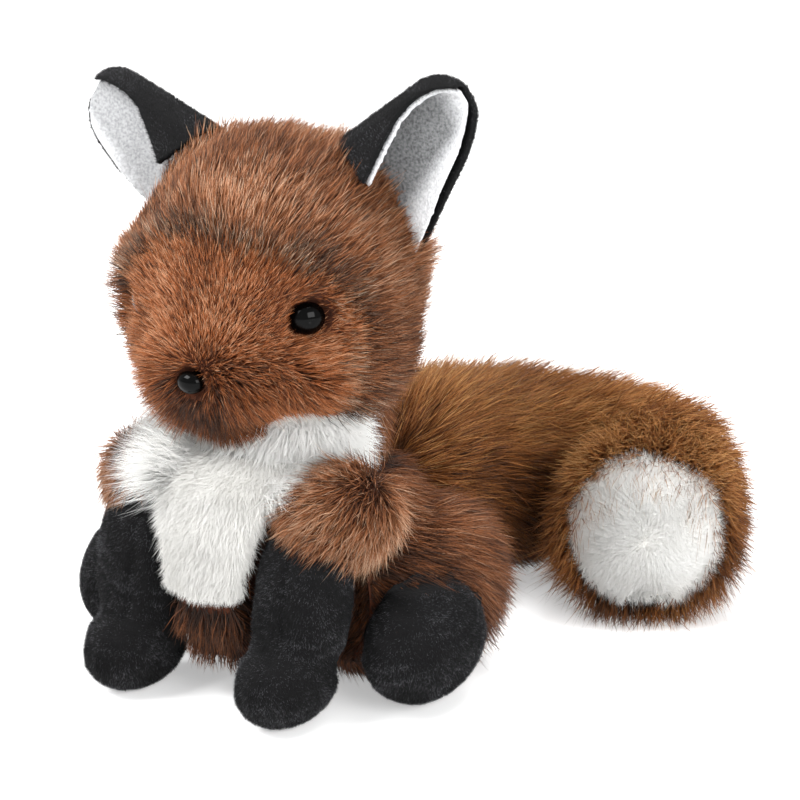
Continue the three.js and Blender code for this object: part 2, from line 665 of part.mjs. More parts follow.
function buildEars(head) {
  const form = headForm(0);
  for (const [word, side] of SIDES) {
    const out = vec(side * Math.sin(rad(EAR_SPLAY)), Math.tan(rad(EAR_SETBACK)), Math.cos(rad(EAR_SPLAY)));
    out.normalize();
    const ear = new THREE.Group();
    ear.name = `${word}_ear`;
    ear.position.copy(surfacePoint(form, headCentre, out).addScaledVector(out, EAR_SEAT));
    ear.rotation.y = side * rad(EAR_SPLAY);
    head.add(ear);
    const lining = earLayer(side, -EAR_LINING_THICKNESS - SEAM_GAP / 2, -SEAM_GAP / 2, EAR_RIM);
    addPiece(ear, `${word}_ear_lining`, lining, "whiteVelour");
    const back = earLayer(side, SEAM_GAP / 2, EAR_BACK_THICKNESS + SEAM_GAP / 2, 0);
    addPiece(ear, `${word}_ear_back`, back, "blackPlush");
  }
}

// Forelegs: a fur sleeve over the top of a black plush leg and paw

function buildForelegs() {
  for (const [word, side] of SIDES) {
    const arm = jointedGroup(fox, `${word}_arm`, shoulder(side));
    const mouth = halfSpace(elbow(side), Z_AXIS);
    const sleeve = cut(sleeveForm(side, 0), forelegForm(side, SEAM_GAP));
    addPiece(arm, `${word}_arm_sleeve`, sleeve, "redFur");
    const skin = cut(forelegForm(side, 0), forelegForm(side, -PLUSH_WALL), mouth);
    addPiece(arm, `${word}_foreleg`, skin, "blackPlush");
    const fill = cut(forelegForm(side, -PLUSH_WALL - SEAM_GAP), mouth);
    addPiece(arm, `${word}_foreleg_stuffing`, fill, "stuffing");
  }
}

// Tail: runs back from the rump, then hooks round to the fox's left until its tip points forward

const tailRoot = (() => {
  const rump = surfacePoint(bodyForm(0), vec(0, 0, TAIL_ROOT_HEIGHT), vec(0, 1, 0));
  return rump.add(vec(0, TAIL_ROOT_DIAMETER / 2 + SEAM_GAP, 0));
})();

// Diameters at the points of the tail's spine: seam, root, four round the hook and the end
const tailDiameters = (() => {
  const hook = TAIL_DIAMETER * TAIL_HOOK_SHARE;
  return [TAIL_ROOT_DIAMETER, TAIL_ROOT_DIAMETER, TAIL_DIAMETER, hook, hook, hook, TAIL_DIAMETER];
})();

function tailSpine() {
  const middle = vec(TAIL_HOOK_RADIUS, tailRoot.y + TAIL_RUN - TAIL_HOOK_RADIUS, 0);
  const onHook = (degrees) => {
    const angle = rad(degrees);
    return middle.clone().add(vec(-Math.cos(angle), Math.sin(angle), 0).multiplyScalar(TAIL_HOOK_RADIUS));
  };
  const turn = rad(TAIL_END_TURN);
  const end = onHook(180).add(vec(Math.sin(turn), -Math.cos(turn), 0).multiplyScalar(TAIL_END_LENGTH));
  const lying = [...[0, 60, 120, 180].map(onHook), end];
  lying.forEach((point, i) => point.setZ(tailDiameters[i + 2] / 2 - SOLE_CUT));
  const start = tailRoot.clone().add(vec(0, -TAIL_ROOT_DIAMETER / 2, 0));
  return [start, tailRoot.clone(), ...lying];
}

function tailForm(grow) {
  const shape = {
    spine: tailSpine(),
    girths: tailDiameters.map((diameter) => [diameter, diameter]),
    capStart: 1 / 6,
    capEnd: 1 / 7,
    across: Z_AXIS,
    facetsAround: 14,
    facetsAlong: 18,
  };
  return onFloor(stuffed(shape, grow), grow);
}

function buildTail() {
  const tail = jointedGroup(fox, "tail", tailRoot);
  const [before, end] = tailSpine().slice(-2);
  const forward = end.clone().sub(before).normalize();
  const tipBlock = (gap) => {
    const width = TAIL_DIAMETER * 1.2;
    const block = new THREE.BoxGeometry(width, width, width).translate(0, 0, width / 2);
    return placedSolid(block, end.clone().addScaledVector(forward, gap - TAIL_TIP_LENGTH), forward);
  };
  const shell = cut(tailForm(0), tailForm(-COVER_WALL));
  addPiece(tail, "tail_cover", cut(shell, tipBlock(-SEAM_GAP / 2)), "redFur");
  addPiece(tail, "tail_tip", shell.intersect(tipBlock(SEAM_GAP / 2)), "whiteFur");
  addPiece(tail, "tail_stuffing", tailForm(-COVER_WALL - SEAM_GAP), "stuffing");
}

buildBody();
buildHindFeet();
buildEars(buildHead(buildNeck()));
buildForelegs();
buildTail();

// Stand the finished puppet with the centre of its footprint at the origin
fox.updateMatrixWorld(true);
const footprint = new THREE.Box3().setFromObject(fox, true).getCenter(vec(0, 0, 0));
fox.position.set(-footprint.x, -footprint.y, 0);
const puppet = new THREE.Group();
puppet.add(fox);

export default puppet;
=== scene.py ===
"""Looks of the seated fox finger puppet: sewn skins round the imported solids, real strands of fur
and plush pile combed over them, turned eyes and nose, a lined finger channel, floor, light and
camera. Sizes in this script are millimetres; Blender's meshes are made in metres."""

import json
import math

import bpy
import numpy as np
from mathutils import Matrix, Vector
from mathutils.bvhtree import BVHTree
from mathutils.kdtree import KDTree


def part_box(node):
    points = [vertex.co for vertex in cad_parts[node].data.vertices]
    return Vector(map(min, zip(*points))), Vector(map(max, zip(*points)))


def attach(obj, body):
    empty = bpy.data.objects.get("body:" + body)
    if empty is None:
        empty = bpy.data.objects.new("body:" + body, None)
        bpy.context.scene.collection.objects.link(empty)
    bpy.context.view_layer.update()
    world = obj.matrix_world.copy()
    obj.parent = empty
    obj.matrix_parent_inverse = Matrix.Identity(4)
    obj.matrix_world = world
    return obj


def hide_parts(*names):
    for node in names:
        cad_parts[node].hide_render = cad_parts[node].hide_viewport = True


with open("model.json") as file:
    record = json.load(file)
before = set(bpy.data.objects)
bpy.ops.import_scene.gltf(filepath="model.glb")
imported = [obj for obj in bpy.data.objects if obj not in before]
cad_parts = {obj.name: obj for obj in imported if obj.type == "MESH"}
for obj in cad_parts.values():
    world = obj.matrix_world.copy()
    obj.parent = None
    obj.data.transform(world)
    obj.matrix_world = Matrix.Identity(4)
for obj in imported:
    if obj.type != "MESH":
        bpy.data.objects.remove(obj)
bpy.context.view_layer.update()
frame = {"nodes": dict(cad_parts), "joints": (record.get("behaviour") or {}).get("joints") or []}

MM = 0.001
MOST_TRIANGLES = 190_000  # in one piece of fur
SKIN_FLOOR, TIP_FLOOR = 0.25, 0.2  # the lowest that skins and strands come
PIVOT = {joint["name"]: np.array(joint["pos_m"]) / MM for joint in frame["joints"]}
NECK = PIVOT["head_turn"]
HEAD_TILT = math.radians(4)
DOWN = np.array([0.0, 0.0, -1.0])
BUTTONS = ("left_eye", "right_eye", "nose")


# Small helpers on arrays of points


def norms(vectors):
    return np.linalg.norm(vectors, axis=-1)


def unit(vectors):
    size = np.linalg.norm(vectors, axis=-1, keepdims=True)
    return vectors / np.maximum(size, 1e-9)


def flat_on(vectors, normals):
    """The vectors laid flat on the surface that has these normals, as unit vectors."""
    along = (vectors * normals).sum(-1, keepdims=True)
    return unit(vectors - normals * along)


def ease(low, high, value):
    """0 up to low and 1 from high on, with a smooth rise between; low may be the larger one."""
    share = np.clip((value - low) / (high - low), 0, 1)
    return share * share * (3 - 2 * share)


def bell(value, width):
    """1 at 0, and falling away on both sides over about this width."""
    return np.exp(-((value / width) ** 2))


def ripple(points, size, seed):
    """Smooth noise from -1 to 1 with patches of about this size."""
    rng = np.random.default_rng(seed)
    total = np.zeros(len(points))
    for _ in range(7):
        wave = rng.normal(0, 1, 3)
        wave *= rng.uniform(2.2, 4.6) / size / np.linalg.norm(wave)
        total += np.sin(points @ wave + rng.uniform(0, 6.28))
    return np.clip(total / 2.6, -1, 1)


def aside(points):
    """How far each point is to the fox's left of its middle."""
    return points[:, 0] - NECK[0]


def about_y(angle):
    cos, sin = math.cos(angle), math.sin(angle)
    return np.array([[cos, 0, sin], [0, 1, 0], [-sin, 0, cos]])


HEAD_AXES = about_y(-HEAD_TILT)


def in_head(points):
    """Points in the head's own frame, with the neck centre at its origin."""
    return (points - NECK) @ HEAD_AXES


def from_head(points):
    return np.asarray(points, float) @ HEAD_AXES.T + NECK


def nearest(places, points):
    """For each point, the number of the place nearest to it."""
    tree = KDTree(len(places))
    for i, place in enumerate(places):
        tree.insert(place, i)
    tree.balance()
    return np.array([tree.find(point)[1] for point in points])


# Meshes


def placed(name, data):
    obj = bpy.data.objects.new(name, data)
    bpy.context.scene.collection.objects.link(obj)
    return obj


def mesh_object(name, points, faces, scale=MM):
    mesh = bpy.data.meshes.new(name)
    mesh.vertices.add(len(points))
    mesh.vertices.foreach_set("co", (np.asarray(points) * scale).astype(np.float32).ravel())
    mesh.loops.add(faces.size)
    mesh.loops.foreach_set("vertex_index", faces.astype(np.int32).ravel())
    mesh.polygons.add(len(faces))
    firsts = np.arange(0, faces.size, faces.shape[1], dtype=np.int32)
    mesh.polygons.foreach_set("loop_start", firsts)
    mesh.polygons.foreach_set("use_smooth", np.ones(len(faces), bool))
    mesh.update(calc_edges=True)
    return placed(name, mesh)


def arrays_of(mesh, scale=1.0):
    """A mesh's points and triangles."""
    points = np.empty(len(mesh.vertices) * 3, np.float32)
    mesh.vertices.foreach_get("co", points)
    mesh.calc_loop_triangles()
    faces = np.empty(len(mesh.loop_triangles) * 3, np.int32)
    mesh.loop_triangles.foreach_get("vertices", faces)
    return points.reshape(-1, 3).astype(float) * scale, faces.reshape(-1, 3)


def node_shape(name):
    """A CAD node's welded points in millimetres and its triangles."""
    points, faces = arrays_of(frame["nodes"][name].data, 1 / MM)
    welded, index = np.unique(np.round(points, 3), axis=0, return_inverse=True)
    faces = index.reshape(-1)[faces]
    a, b, c = faces.T
    return welded, faces[(a != b) & (b != c) & (a != c)]


def joined(shapes):
    """Several meshes as one."""
    starts = np.cumsum([0] + [len(points) for points, _ in shapes])
    faces = [faces + start for (_, faces), start in zip(shapes, starts)]
    return np.vstack([points for points, _ in shapes]), np.vstack(faces)


def search_tree(points, faces):
    return BVHTree.FromPolygons(points.tolist(), faces.tolist())


def crosses(points, faces):
    """For each triangle, a vector along its normal and twice as long as its area."""
    a, b, c = (points[faces[:, k]] for k in range(3))
    return np.cross(b - a, c - a)


def vertex_normals(points, faces):
    across = crosses(points, faces)
    total = np.zeros_like(points)
    for k in range(3):
        for axis in range(3):
            total[:, axis] += np.bincount(faces[:, k], across[:, axis], len(points))
    return unit(total)


def edges_of(faces):
    return np.vstack([faces[:, [0, 1]], faces[:, [1, 2]], faces[:, [2, 0]]])


def relax(points, faces, rounds):
    """Evens out a mesh, in steps inward and outward that keep its size."""
    pairs = np.unique(np.sort(edges_of(faces), axis=1), axis=0)
    ends = np.concatenate([pairs[:, 0], pairs[:, 1]])
    others = np.concatenate([pairs[:, 1], pairs[:, 0]])
    count = np.maximum(np.bincount(ends, minlength=len(points)), 1)[:, None]
    for _ in range(rounds):
        for weight in (0.5, -0.52):
            sums = [np.bincount(ends, points[others, k], len(points)) for k in range(3)]
            points = points + weight * (np.stack(sums, axis=1) / count - points)
    return points


def settled(points, faces, rounds):
    points = relax(points, faces, rounds)
    points[:, 2] = np.maximum(points[:, 2], SKIN_FLOOR)
    return points, faces


def remesh(points, faces, voxel):
    """One even skin round closed shapes that may overlap."""
    raw = mesh_object("raw", points, faces, scale=1.0)
    modifier = raw.modifiers.new("Remesh", "REMESH")
    modifier.mode = "VOXEL"
    modifier.voxel_size = voxel
    graph = bpy.context.evaluated_depsgraph_get()
    even = bpy.data.meshes.new_from_object(raw.evaluated_get(graph))
    result = arrays_of(even)
    for mesh in (raw.data, even):
        bpy.data.meshes.remove(mesh)
    return result


def skin_of(nodes, *, rounds, voxel=1.0, draw_in=0.0, bridge=0.4):
    """A smooth closed skin round CAD nodes, drawn in below the height of its pile. The nodes are
    grown by the bridge at first, so that those that lie close become one."""
    shapes = [node_shape(node) for node in nodes]
    grown = [(points + vertex_normals(points, faces) * bridge, faces) for points, faces in shapes]
    points, faces = remesh(*joined(grown), voxel)
    points = relax(points, faces, rounds)
    points = points - vertex_normals(points, faces) * (draw_in + bridge)
    return settled(points, faces, 4)


CLOTH_SCALE = 20  # cloth is simulated at this many times its size
CLOTH_PRESSURE = 4.0
CLOTH_FRAMES = 16
SWELL = 1.2  # the most that stuffing pushes a skin out


def stuffed(skin):
    """A skin blown up by its stuffing: cloth under pressure."""
    points, faces = skin
    scale = CLOTH_SCALE * MM
    trial = mesh_object("trial", points, faces, scale=scale)
    cloth = trial.modifiers.new("Cloth", "CLOTH")
    cloth.settings.use_pressure = True
    cloth.settings.uniform_pressure_force = CLOTH_PRESSURE
    cloth.settings.effector_weights.gravity = 0.0
    cloth.collision_settings.use_collision = False
    for step in range(1, CLOTH_FRAMES + 1):
        bpy.context.scene.frame_set(step)
    graph = bpy.context.evaluated_depsgraph_get()
    blown, _ = arrays_of(trial.evaluated_get(graph).data, 1 / scale)
    bpy.data.meshes.remove(trial.data)
    bpy.context.scene.frame_set(1)
    move = blown - points
    reach = np.linalg.norm(move, axis=1, keepdims=True)
    points = points + move * np.minimum(1, SWELL / np.maximum(reach, 1e-9))
    return settled(points, faces, 2)


solid_tree = search_tree(*joined([node_shape(name) for name in sorted(frame["nodes"])]))
OPEN_REACH = 60  # how far above a skin its cover is looked for
LEAST_ROOM = 1.0  # below another piece, for strands to grow
CHANNEL_RADIUS = 12.6  # of the walls round the finger channel


def exposed(points, faces, height, outward):
    """Which faces of a skin have open air above them, past the CAD surface at this height."""
    middle = points[faces].mean(1)
    normal = unit(crosses(points, faces))
    if outward is not None:
        normal = unit(normal * 0.5 + unit(outward(middle)))
    start = middle + normal * height
    seen = np.ones(len(faces), bool)
    for i in range(len(faces)):
        ray = Vector(normal[i])
        hit, facing, _, distance = solid_tree.ray_cast(Vector(start[i]), ray, OPEN_REACH)
        if hit is not None and (facing.dot(ray) > 0 or distance < LEAST_ROOM):
            seen[i] = False
    in_channel = np.hypot(aside(middle), middle[:, 1] - NECK[1]) < CHANNEL_RADIUS
    return seen & ~(in_channel & (middle[:, 2] < NECK[2]) & (np.abs(normal[:, 2]) < 0.98))


# Materials


def linear(colour):
    """A colour as it looks on a screen, from 0 to 255, as the light it stands for."""
    shares = [value / 255 for value in colour]
    light = [s / 12.92 if s <= 0.04045 else ((s + 0.055) / 1.055) ** 2.4 for s in shares]
    return (*light, 1.0)


class Nodes:
    """The node tree of a material or world, with short ways to add and link nodes."""

    def __init__(self, owner):
        owner.use_nodes = True
        self.owner, self.tree = owner, owner.node_tree

    def give(self, name, inputs):
        """Sets each input of a node to a number or colour, or links it to another's output."""
        node = self.tree.nodes[name]
        for socket, value in inputs.items():
            if isinstance(value, bpy.types.NodeSocket):
                self.tree.links.new(value, node.inputs[socket])
            else:
                node.inputs[socket].default_value = value

    def add(self, kind, inputs, output, **settings):
        node = self.tree.nodes.new(f"ShaderNode{kind}")
        for name, value in settings.items():
            setattr(node, name, value)
        self.give(node.name, inputs)
        return node.outputs[output]

    def calc(self, operation, *values, **settings):
        inputs = dict(enumerate(values))
        return self.add("Math", inputs, "Value", operation=operation, **settings)

    def ramp(self, value, *stops):
        result = self.add("ValToRGB", {"Fac": value}, "Color")
        elements = result.node.color_ramp.elements
        for element, (place, colour) in zip(elements, (stops[0], stops[-1])):
            element.position, element.color = place, linear(colour)
        for place, colour in stops[1:-1]:
            elements.new(place).color = linear(colour)
        return result

    def mix(self, factor, first, second):
        inputs = {"Factor": factor, "A": first, "B": second}
        return self.add("Mix", inputs, "Result", data_type="RGBA")

    def span(self, value, source=(0.0, 1.0), target=(0.0, 1.0)):
        """A value carried over from between two numbers to between two others."""
        ends = zip(("From Min", "From Max", "To Min", "To Max"), (*source, *target))
        return self.add("MapRange", {"Value": value, **dict(ends)}, "Result", clamp=True)

    def noise(self, scale, detail=3.0):
        place = self.add("TexCoord", {}, "Object")
        inputs = {"Vector": place, "Scale": scale, "Detail": detail, "Roughness": 0.55}
        return self.add("TexNoise", inputs, "Fac")

    def bump(self, height, strength, distance):
        inputs = {"Height": height, "Strength": strength, "Distance": distance}
        return self.add("Bump", inputs, "Normal")

    def shade(self, colour, roughness, specular, **more):
        """Gives a material its looks."""
        looks = {"Base Color": colour, "Roughness": roughness, "Specular IOR Level": specular}
        self.give("Principled BSDF", {**looks, **more})
        return self.owner

    def seen_directly(self):
        """1 for rays from the camera, off a gloss or through glass, and 0 for scattered light."""
        total = self.add("LightPath", {}, "Is Camera Ray")
        rays = total.node.outputs
        for kind in ("Is Glossy Ray", "Is Transmission Ray"):
            total = self.calc("ADD", total, rays[kind], use_clamp=True)
        return total


def fur_material(name, *tones, roughness=0.5, specular=0.22):
    """Strand colours: v of the strand map runs from root to tip and u from dark to pale strands.
    The dark, middle and pale tones each hold the colours at the root, half way and at the tip."""
    nodes = Nodes(bpy.data.materials.new(name))
    strand_map = nodes.add("UVMap", {}, "UV", uv_map="OFBake")
    tone = nodes.add("SeparateXYZ", {"Vector": strand_map}, "X")
    along = tone.node.outputs["Y"]
    dark, middle, pale = (nodes.ramp(along, *zip((0.05, 0.55, 0.95), tips)) for tips in tones)
    low = nodes.mix(nodes.span(tone, source=(0.0, 0.5)), dark, middle)
    colour = nodes.mix(nodes.span(tone, source=(0.5, 1.0)), low, pale)
    return nodes.shade(colour, roughness, specular)


def cloth_material(name, dark, pale, grain, bump):
    """Backing or lining cloth: two tones of one colour in a fine uneven grain."""
    nodes = Nodes(bpy.data.materials.new(name))
    coarse, fine = nodes.noise(grain / 9), nodes.noise(grain, detail=6.0)
    blend = nodes.calc("MULTIPLY_ADD", fine, 0.6, nodes.calc("MULTIPLY", coarse, 0.4))
    colour = nodes.ramp(blend, (0.3, dark), (0.7, pale))
    return nodes.shade(colour, 0.85, 0.2, Normal=nodes.bump(fine, bump, 0.0006))


def velour_material(name, deep, shaded, grain, pale):
    """Short white velour with a painted speckle of shadow, greyed by painted shade where the mesh
    marks the recess beside the ear's fold.
    """
    nodes = Nodes(bpy.data.materials.new(name))
    fine = nodes.noise(1900.0, detail=5.0)
    hollow_shade = nodes.add("Attribute", {}, "Fac", attribute_name="hollow_shade")
    # The lit velour, and a copy in painted shade
    lit = nodes.ramp(fine, (0.3, grain), (0.66, pale))
    dim = nodes.ramp(fine, (0.3, deep), (0.66, shaded))
    bump = nodes.bump(fine, 0.35, 0.0005)
    return nodes.shade(nodes.mix(hollow_shade, lit, dim), 0.95, 0.1, Normal=bump)


def plastic_material(name, base, pale, roughness, specular):
    """Moulded plastic with a faint flow of tone and polish."""
    nodes = Nodes(bpy.data.materials.new(name))
    swirl = nodes.noise(260.0)
    colour = nodes.ramp(swirl, (0.3, base), (0.75, pale))
    return nodes.shade(colour, nodes.span(swirl, target=roughness), specular)


RUST_FUR = fur_material(
    "rust_fur",
    [(20, 13, 10), (46, 29, 20), (80, 50, 33)],
    [(42, 25, 15), (121, 70, 39), (174, 107, 63)],
    [(76, 49, 34), (160, 108, 72), (226, 198, 170)],
)
FACE_FUR = fur_material(
    "face_fur",
    [(19, 12, 10), (40, 25, 17), (70, 44, 29)],
    [(54, 29, 16), (140, 76, 38), (186, 108, 56)],
    [(88, 52, 33), (172, 108, 66), (228, 188, 152)],
)
# Grey strands for the seam round the face, with dark ones as painted shade
SEAM_GREY_AND_SHADE_FUR = fur_material(
    "seam_grey_and_shade_fur",
    [(18, 13, 11), (38, 28, 23), (70, 54, 44)],
    [(30, 20, 15), (92, 66, 49), (168, 136, 110)],
    [(54, 39, 30), (154, 124, 99), (232, 212, 190)],
)
TAIL_FUR = fur_material(
    "tail_fur",
    [(22, 14, 9), (46, 28, 16), (72, 44, 24)],
    [(42, 25, 13), (114, 66, 30), (158, 96, 44)],
    [(76, 48, 26), (156, 102, 51), (212, 166, 108)],
)
WHITE_FUR = fur_material(
    "white_fur",
    [(212, 211, 206), (214, 213, 208), (218, 217, 213)],
    [(222, 221, 217), (225, 224, 220), (228, 227, 224)],
    [(236, 235, 232), (239, 239, 236), (242, 242, 240)],
    roughness=0.95,
    specular=0.02,
)
# The pale tips paint the pile's sheen
BLACK_PILE = fur_material(
    "black_pile",
    [(3, 3, 4), (5, 5, 6), (9, 9, 10)],
    [(5, 5, 6), (12, 12, 13), (34, 34, 36)],
    [(10, 10, 11), (46, 46, 48), (150, 150, 156)],
    roughness=0.6,
    specular=0.16,
)
RUST_BACKING = cloth_material("rust_backing", (34, 18, 12), (84, 42, 22), 900.0, 0.5)
TAIL_BACKING = cloth_material("tail_backing", (38, 24, 14), (88, 54, 28), 900.0, 0.5)
WHITE_BACKING = cloth_material("white_backing", (208, 207, 202), (226, 225, 221), 900.0, 0.4)
BLACK_BACKING = cloth_material("black_backing", (5, 5, 6), (12, 12, 13), 1400.0, 0.6)
# The first two tones are the velour's painted shade in the recess, the last two the lit velour
EAR_VELOUR = velour_material(
    "ear_velour", (78, 79, 80), (128, 129, 130), (180, 181, 183), (222, 223, 225)
)
LINING_CLOTH = cloth_material("lining_cloth", (26, 20, 17), (52, 42, 36), 1800.0, 0.4)
EYE_PLASTIC = plastic_material("eye_plastic", (1, 1, 1), (4, 4, 4), (0.03, 0.06), 0.08)
WASHER_PLASTIC = plastic_material(
    "washer_plastic", (206, 206, 200), (232, 232, 228), (0.3, 0.45), 0.4
)


# Pieces


def dressed(obj, material, body, slot, *nodes):
    obj.data.materials.clear()
    obj.data.materials.append(material)
    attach(obj, body)
    if nodes:
        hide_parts(*nodes)
    return obj


ROOT_DEPTH = 0.3  # of a strand's root below its skin


def strands(roots, normals, comb, length, lift, rng, look):
    """The points of each strand from root to tip: it leaves the skin at its lift, bends over
    along the comb, sags a little and gathers with its neighbours into locks."""
    count, steps = len(roots), look["steps"]
    lift = np.broadcast_to(lift, count)[:, None]
    toward = unit(normals * lift + comb * (1 - lift))
    toward = unit(toward + rng.normal(0, look["stray"], (count, 3)))
    step = (length / steps)[:, None]
    line = [roots - normals * ROOT_DEPTH]
    for k in range(steps):
        share = (k + 1) / steps
        toward = unit(toward + comb * look["bend"] * share + DOWN * look["sag"] * share)
        toward = unit(toward + rng.normal(0, look["curl"], (count, 3)))
        line.append(line[-1] + toward * step)
    line = np.stack(line, axis=1)
    if look["lock"] > 0:
        guides = rng.choice(count, max(1, count // look["lock_size"]), replace=False)
        leader = line[guides[nearest(roots[guides], roots)]]
        pull = look["lock"] * np.linspace(0, 1, steps + 1)[None, :, None] ** 1.4
        pull = pull * rng.uniform(0.4, 1.0, (count, 1, 1))
        line = line + (leader - line) * pull
    line[:, :, 2] = np.maximum(line[:, :, 2], TIP_FLOOR)
    return line


def strand_mesh(name, line, width, tone, rng, normals, soft):
    """Tapered three-sided strands round these lines, with the strand map that colours them. A soft
    coat takes its shading from the skin below it, as fine fluff does."""
    count, rings = line.shape[0], line.shape[1] - 1
    toward = unit(np.gradient(line, axis=1))
    side = unit(np.cross(toward, rng.normal(0, 1, (count, 1, 3))))
    other = np.cross(toward, side)
    share = np.linspace(0, 1, rings + 1)
    radius = width[:, None] / 2 * (1 - 0.75 * share[None, :] ** 1.6)
    places, facing = [], []
    for k in range(3):
        angle = 2 * math.pi * k / 3
        spoke = side * math.cos(angle) + other * math.sin(angle)
        places.append(line[:, :-1] + spoke[:, :-1] * radius[:, :-1, None])
        facing.append(spoke[:, :-1])
    body = np.stack(places, axis=2).reshape(count, rings * 3, 3)
    points = np.concatenate([body, line[:, -1:]], axis=1)
    per_strand = rings * 3 + 1
    faces = []
    for ring in range(rings - 1):
        for k in range(3):
            a, b = ring * 3 + k, ring * 3 + (k + 1) % 3
            faces += [[a, b, b + 3], [a, b + 3, a + 3]]
    last = (rings - 1) * 3
    faces += [[last + k, last + (k + 1) % 3, rings * 3] for k in range(3)]
    faces = np.array(faces)
    all_faces = (np.arange(count)[:, None, None] * per_strand + faces[None]).reshape(-1, 3)
    obj = mesh_object(name, points.reshape(-1, 3), all_faces)
    heights = np.append(np.repeat(share[:-1], 3), 1.0)
    place = np.empty((count, per_strand, 2))
    place[:, :, 0] = np.clip(tone, 0.01, 0.99)[:, None]
    place[:, :, 1] = np.clip(heights, 0.01, 0.99)[None]
    layer = obj.data.uv_layers.new(name="OFBake")
    corners = place.reshape(-1, 2)[all_faces.ravel()]
    layer.data.foreach_set("uv", corners.astype(np.float32).ravel())
    if soft > 0:
        facing = np.stack(facing, axis=2).reshape(count, rings * 3, 3)
        facing = np.concatenate([facing, toward[:, -1:]], axis=1)
        facing = unit(facing * (1 - soft) + normals[:, None] * soft)
        obj.data.normals_split_custom_set_from_vertices(facing.reshape(-1, 3))
    return obj


LONG_FUR = dict(
    steps=2, stray=0.18, bend=0.2, sag=0.06, curl=0.14, lock=0.5, lock_size=12, guard=0.05
)
SHORT_FUR = dict(LONG_FUR, sag=0.0, curl=0.12, lock=0.4, lock_size=9, guard=0.03)
CAPE = dict(LONG_FUR, stray=0.3, curl=0.18, guard=0.08)
BRUSH = dict(LONG_FUR, stray=0.2, guard=0.12)
FLUFF = dict(
    steps=2, stray=0.28, bend=0.14, sag=0.04, curl=0.22, lock=0.34, lock_size=22, guard=0.0
)
PILE = dict(steps=1, stray=0.3, bend=0.0, sag=0.0, curl=0.0, lock=0.0, guard=0.0)
LENGTHS, WIDTHS = (0.72, 1.12), (0.7, 1.2)  # least and most, as shares of the coat's own
GUARD_LENGTH = 1.32  # of the few long guard hairs, as a share of their length


def at(value, roots, normals):
    """A value for all roots, or one that is worked out from them and their normals."""
    return value(roots, normals) if callable(value) else value


def fur(name, skin, material, *, density, width, look, seed, comb, length, lift, tone, height, vary,
        keep=None, outward=None, soft=0.0):
    """Grows one coat on the open faces of a skin, on its body. A large coat is
    split into several pieces. With no height, strands also grow where another piece covers the
    skin, and come out past its edge."""
    points, faces, body, slot = skin
    open_faces = faces if height is None else faces[exposed(points, faces, height, outward)]
    rng = np.random.default_rng(seed)
    area = norms(crosses(points, open_faces)) / 2
    count = int(area.sum() * density)
    pick = rng.choice(len(open_faces), count, p=area / area.sum())
    u, v = rng.random((2, count))
    fold = u + v > 1
    u[fold], v[fold] = 1 - u[fold], 1 - v[fold]
    share = np.stack([1 - u - v, u, v], axis=1)[:, :, None]
    corners = open_faces[pick]
    roots = (points[corners] * share).sum(1)
    normals = unit((vertex_normals(points, faces)[corners] * share).sum(1))
    if outward is not None:
        normals = unit(normals + 0.6 * unit(outward(roots)))
    if keep is not None:
        kept = rng.random(count) < keep(roots, normals)
        roots, normals = roots[kept], normals[kept]
    count = len(roots)
    size = at(length, roots, normals) * rng.uniform(*LENGTHS, count)
    size = np.where(rng.random(count) < look["guard"], size * GUARD_LENGTH, size)
    lie = flat_on(at(comb, roots, normals), normals)
    line = strands(roots, normals, lie, size, at(lift, roots, normals), rng, look)
    thick = width * rng.uniform(*WIDTHS, count)
    shade = tone(roots, normals) + rng.normal(0, vary, count)
    per_strand = (look["steps"] - 1) * 6 + 3
    parts = math.ceil(count * per_strand / MOST_TRIANGLES)
    for part in range(parts):
        mine = slice(part, None, parts)
        label = name if part == 0 else f"{name}_{part + 1}"
        coat = strand_mesh(label, line[mine], thick[mine], shade[mine], rng, normals[mine], soft)
        dressed(coat, material, body, slot)


def padded_skin(name, skin, material, body, slot, *nodes, fill):
    obj = dressed(mesh_object(name, *skin), material, body, slot, *nodes)


def covered(name, nodes, material, body, slot, *, fill, shape=None, **form):
    """A padded skin in place of CAD nodes; with its body and slot, for fur to grow on."""
    skin = skin_of(nodes, **form)
    if shape is not None:
        skin = shape(skin)
    padded_skin(name, skin, material, body, slot, *nodes, fill=fill)
    return *skin, body, slot


def sheet_skin(name, skin, material, body, slot, node):
    """A thin piece of cloth on its seat."""
    obj = dressed(mesh_object(name, *skin), material, body, slot, node)
    return obj


def away_from(place):
    return lambda points: points - place


def mottled(tone, spread, size, seed):
    """A tone that wanders from patch to patch of about this size."""
    return lambda roots, normals: tone + spread * ripple(roots, size, seed)


# Body


def from_spine(points):
    """Away from the upright line through the middle of the body."""
    away = points - (NECK + [0, 4, 0])
    away[:, 2] *= 0.15
    return away


def body_flow(roots, *_):
    """Down and back, spreading over the haunches."""
    ones = np.ones(len(roots))
    return np.stack([aside(roots) * 0.012, 0.8 * ones, -ones], 1)


def body_tone(roots, *_):
    """Darker low down and in front, and paler at the shoulders."""
    _, y, z = roots.T
    low = ease(34, 6, z) * 0.12
    front = ease(-44, -56, y) * 0.1
    shoulder = ease(30, 39, z) * ease(12, 19, np.abs(aside(roots))) * ease(-18, -30, y)
    return 0.25 + 0.16 * ripple(roots, 12, 3) - low - front + 0.26 * shoulder


def body_length(roots, normals):
    """Longer at the sides, and shorter underneath and below the bib, where the belly rises."""
    _, y, z = roots.T
    tucked = ease(-44, -52, y) * ease(24, 14, z)
    fringe = 2.6 * ease(20, 27, np.abs(aside(roots))) * ease(-10, -22, y)
    return 9.0 + fringe - 4.4 * np.maximum(ease(-0.5, -0.9, normals[:, 2]), tucked)


def foot_seats(roots, normals):
    """The hollows that the hind feet sit in, where there is room for short fur only."""
    _, y, z = roots.T
    out = np.abs(aside(roots))
    return (out > 18) & (out < 34) & (y < -37) & (z > 4) & (z < 30) & (normals[:, 1] < -0.2)


